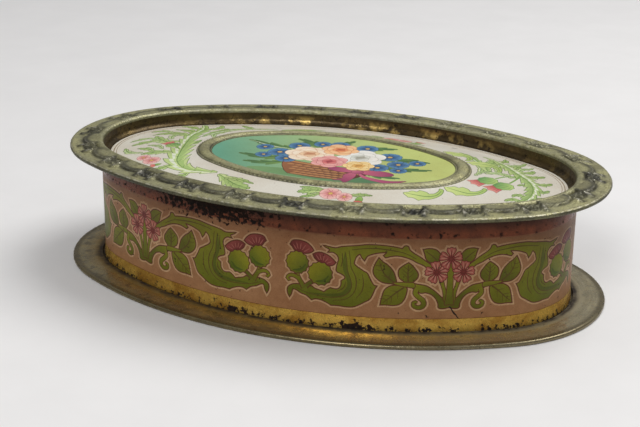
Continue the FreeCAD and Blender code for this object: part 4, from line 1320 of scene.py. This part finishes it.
flat, faces, inks = cut_print([panel_line], bare_mark, grid, lambda spots: oval_gap(spots, panel_oval) < 0)
pressing.add(np.column_stack([flat, dome(flat) - sheet_thick]), faces[:, ::-1], inks, 3)

# khaki gilt of the flange and frame, with patina in the hollows and painted shade under the rim curl, and
# rubbed bright on the crests with painted glints
lid_gilt, tree, shader, place = new_finish("lid_gilt")
dark = put(tree, "Attribute", {"attribute_name": "dark"}).outputs["Fac"]
rub_and_glint = put(tree, "Attribute", {"attribute_name": "rub_and_glint"}).outputs["Fac"]
khaki = over(tree, cloud(tree, place, 6.0, 0.38, 0.62), srgb(194, 189, 138), srgb(174, 171, 133))
khaki = over(tree, cloud(tree, place, 0.7, 0.52, 0.64, 2.0), khaki, srgb(146, 140, 100))
dull = both(tree, cloud(tree, place, 11.0, 0.54, 0.64), 0.6)
khaki = over(tree, dull, khaki, srgb(128, 122, 90))
tarnish = both(tree, dark, level(tree, cloud(tree, place, 1.6, 0.35, 0.65), 0.85, 1.0))
tarnish = both(tree, tarnish, level(tree, cloud(tree, place, 30.0, 0.4, 0.6), 0.8, 1.05))
colour = over(tree, tarnish, khaki, srgb(38, 37, 31))
# rubbed metal and painted glints: near-white on the crests of the pendants, along the swags and on the rim
# curl
bright = both(tree, rub_and_glint, cloud(tree, place, 1.6, 0.44, 0.60))
colour = over(tree, bright, colour, srgb(240, 234, 212))
rust = cloud(tree, place, 1.1, 0.66, 0.71)
colour = over(tree, rust, colour, srgb(66, 52, 36))
join(tree, colour, shader, "Base Color")
join(tree, level(tree, rust, 0.55, 0.1), shader, "Metallic")
satin = level(tree, cloud(tree, place, 2.0, 0.35, 0.65), 0.34, 0.5)
join(tree, level(tree, rust, satin, 0.8), shader, "Roughness")
dent(tree, shader, 0.5, 0.0002, cloud(tree, place, 0.8, 0.35, 0.65, 2.0))

# brown lacquer of the sunk wall, with gold left in places
lid_lacquer, tree, shader, place = new_finish("lid_lacquer")
spread = put(tree, "SeparateXYZ", Vector=place)
colour = over(tree, cloud(tree, place, 9.0, 0.38, 0.62), srgb(62, 50, 30), srgb(84, 68, 38))
back = level(tree, ramp(tree, spread.outputs["Y"], 0.036, 0.048), 0.15, 1.0)
low_edge = ramp(tree, spread.outputs["Z"], 0.0446, 0.0420)
low_back = both(tree, back, low_edge)
worn_gold = both(tree, cloud(tree, place, 7.5, 0.50, 0.62), low_back)
colour = over(tree, worn_gold, colour, srgb(206, 174, 100))
colour = over(tree, cloud(tree, place, 1.6, 0.6, 0.66), colour, srgb(44, 33, 20))
join(tree, colour, shader, "Base Color")
shader.inputs["Metallic"].default_value = 0.7
join(tree, level(tree, cloud(tree, place, 2.0, 0.35, 0.65), 0.26, 0.42), shader, "Roughness")
dent(tree, shader, 0.4, 0.0003, cloud(tree, place, 3.0, 0.3, 0.7))

# ink of the panel, a little yellowed and specked
lid_print, tree, shader, place = new_finish("lid_print")
ink = put(tree, "Attribute", {"attribute_name": "ink"}).outputs["Color"]
grain = both(tree, cloud(tree, place, 0.4, 0.42, 0.7, 1.0), 0.16)
colour = over(tree, grain, ink, srgb(196, 172, 150), "MULTIPLY")
faded = both(tree, cloud(tree, place, 18.0, 0.4, 0.7), 0.25)
colour = over(tree, faded, colour, srgb(214, 190, 160), "MULTIPLY")
colour = over(tree, cloud(tree, place, 0.8, 0.70, 0.74), colour, srgb(90, 66, 44))
join(tree, colour, shader, "Base Color")
join(tree, level(tree, cloud(tree, place, 3.0, 0.3, 0.7), 0.3, 0.42), shader, "Roughness")
shader.inputs["Specular IOR Level"].default_value = 0.3
dent(tree, shader, 0.2, 0.0002, cloud(tree, place, 5.0, 0.3, 0.7))

lid = pressing.mesh("lid_pressing", [lid_gilt, lid_lacquer, lid_print, bare_tin])
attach(lid, "lid")
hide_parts("lid_pan")

# Table and light
# A plain pale table under two soft lamps, and a faint sky that is brighter overhead.
# None of it is part of the box.

bpy.ops.mesh.primitive_plane_add(size=6.0, location=(0, 0, 0))
table = bpy.context.object
table.name = "table"
pale, tree, shader, place = new_finish("pale_table")
seen = put(tree, "LightPath").outputs
shown = math_of(tree, "MAXIMUM", seen["Is Camera Ray"], seen["Is Glossy Ray"])
shown = math_of(tree, "MAXIMUM", shown, seen["Is Transmission Ray"])
paper = over(tree, cloud(tree, place, 40.0, 0.3, 0.7), srgb(240, 238, 236), srgb(236, 234, 232))
join(tree, over(tree, shown, srgb(124, 121, 120), paper), shader, "Base Color")
shader.inputs["Roughness"].default_value = 0.9
table.data.materials.append(pale)

world = bpy.data.worlds.new("studio")
world.use_nodes = True
bpy.context.scene.world = world
air = world.node_tree
sky = air.nodes["Background"]
sky.inputs["Color"].default_value = (0.96, 0.97, 1.0, 1.0)
upward = put(air, "SeparateXYZ", Vector=put(air, "TexCoord").outputs["Generated"]).outputs["Z"]
rise = put(air, "MapRange", Value=upward, From_Min=0.0, From_Max=0.9, To_Min=0.07, To_Max=0.5)
air.links.new(rise.outputs["Result"], sky.inputs["Strength"])


def lamp(name, place, aim, size, watts):
    light = bpy.data.lights.new(name, "AREA")
    light.shape = "DISK"
    light.size = size
    light.energy = watts
    thing = bpy.data.objects.new(name, light)
    thing.location = place
    thing.rotation_euler = (Vector(aim) - Vector(place)).to_track_quat("-Z", "Y").to_euler()
    bpy.context.scene.collection.objects.link(thing)


lamp("key", (0.40, 0.40, 1.0), (0, 0, 0.03), 0.8, 7.0)
lamp("fill", (0.02, -1.00, 0.85), (0, 0, 0.03), 0.5, 5.2)

# Camera
# It stands where the photograph was taken from: at the front right of the box, above the lid.
# Angles are in radians and distance in metres; the lens and the middle of the picture
# are in pixels of a picture 640 wide.

azimuth, elevation, roll = -0.341833, 0.386896, -0.016063
distance, aim_height = 0.504004, 0.00079
focal, centre_x, centre_y = 1335.474, 10.5492, 53.9999
picture_width, sensor_width = 640.0, 36.0
level_part = math.cos(elevation)
toward = np.array([-math.sin(azimuth) * level_part, -math.cos(azimuth) * level_part, math.sin(elevation)])
right = np.array([math.cos(azimuth), -math.sin(azimuth), 0.0])
ahead = -toward
rows = np.array([right, np.cross(right, ahead), ahead])
a, b = math.atan2(centre_x, focal), math.atan2(centre_y, math.hypot(focal, centre_x))
swing = np.array([[math.cos(a), 0, math.sin(a)], [0, 1, 0], [-math.sin(a), 0, math.cos(a)]])
tip = np.array([[1, 0, 0], [0, math.cos(b), -math.sin(b)], [0, math.sin(b), math.cos(b)]])
twist = np.array([[math.cos(roll), -math.sin(roll), 0], [math.sin(roll), math.cos(roll), 0], [0, 0, 1]])
rows = twist @ tip @ swing @ rows
spot = toward * distance + np.array([0, 0, aim_height])
camera = bpy.data.objects.new("camera", bpy.data.cameras.new("camera"))
camera.data.sensor_width = sensor_width
camera.data.lens = focal / picture_width * sensor_width
camera.data.clip_start = 0.01
stand = [[rows[0][i], rows[1][i], -rows[2][i], spot[i]] for i in range(3)]
camera.matrix_world = Matrix(stand + [[0, 0, 0, 1]])
bpy.context.scene.collection.objects.link(camera)
bpy.context.scene.camera = camera
bpy.context.scene.view_settings.view_transform = "Standard"
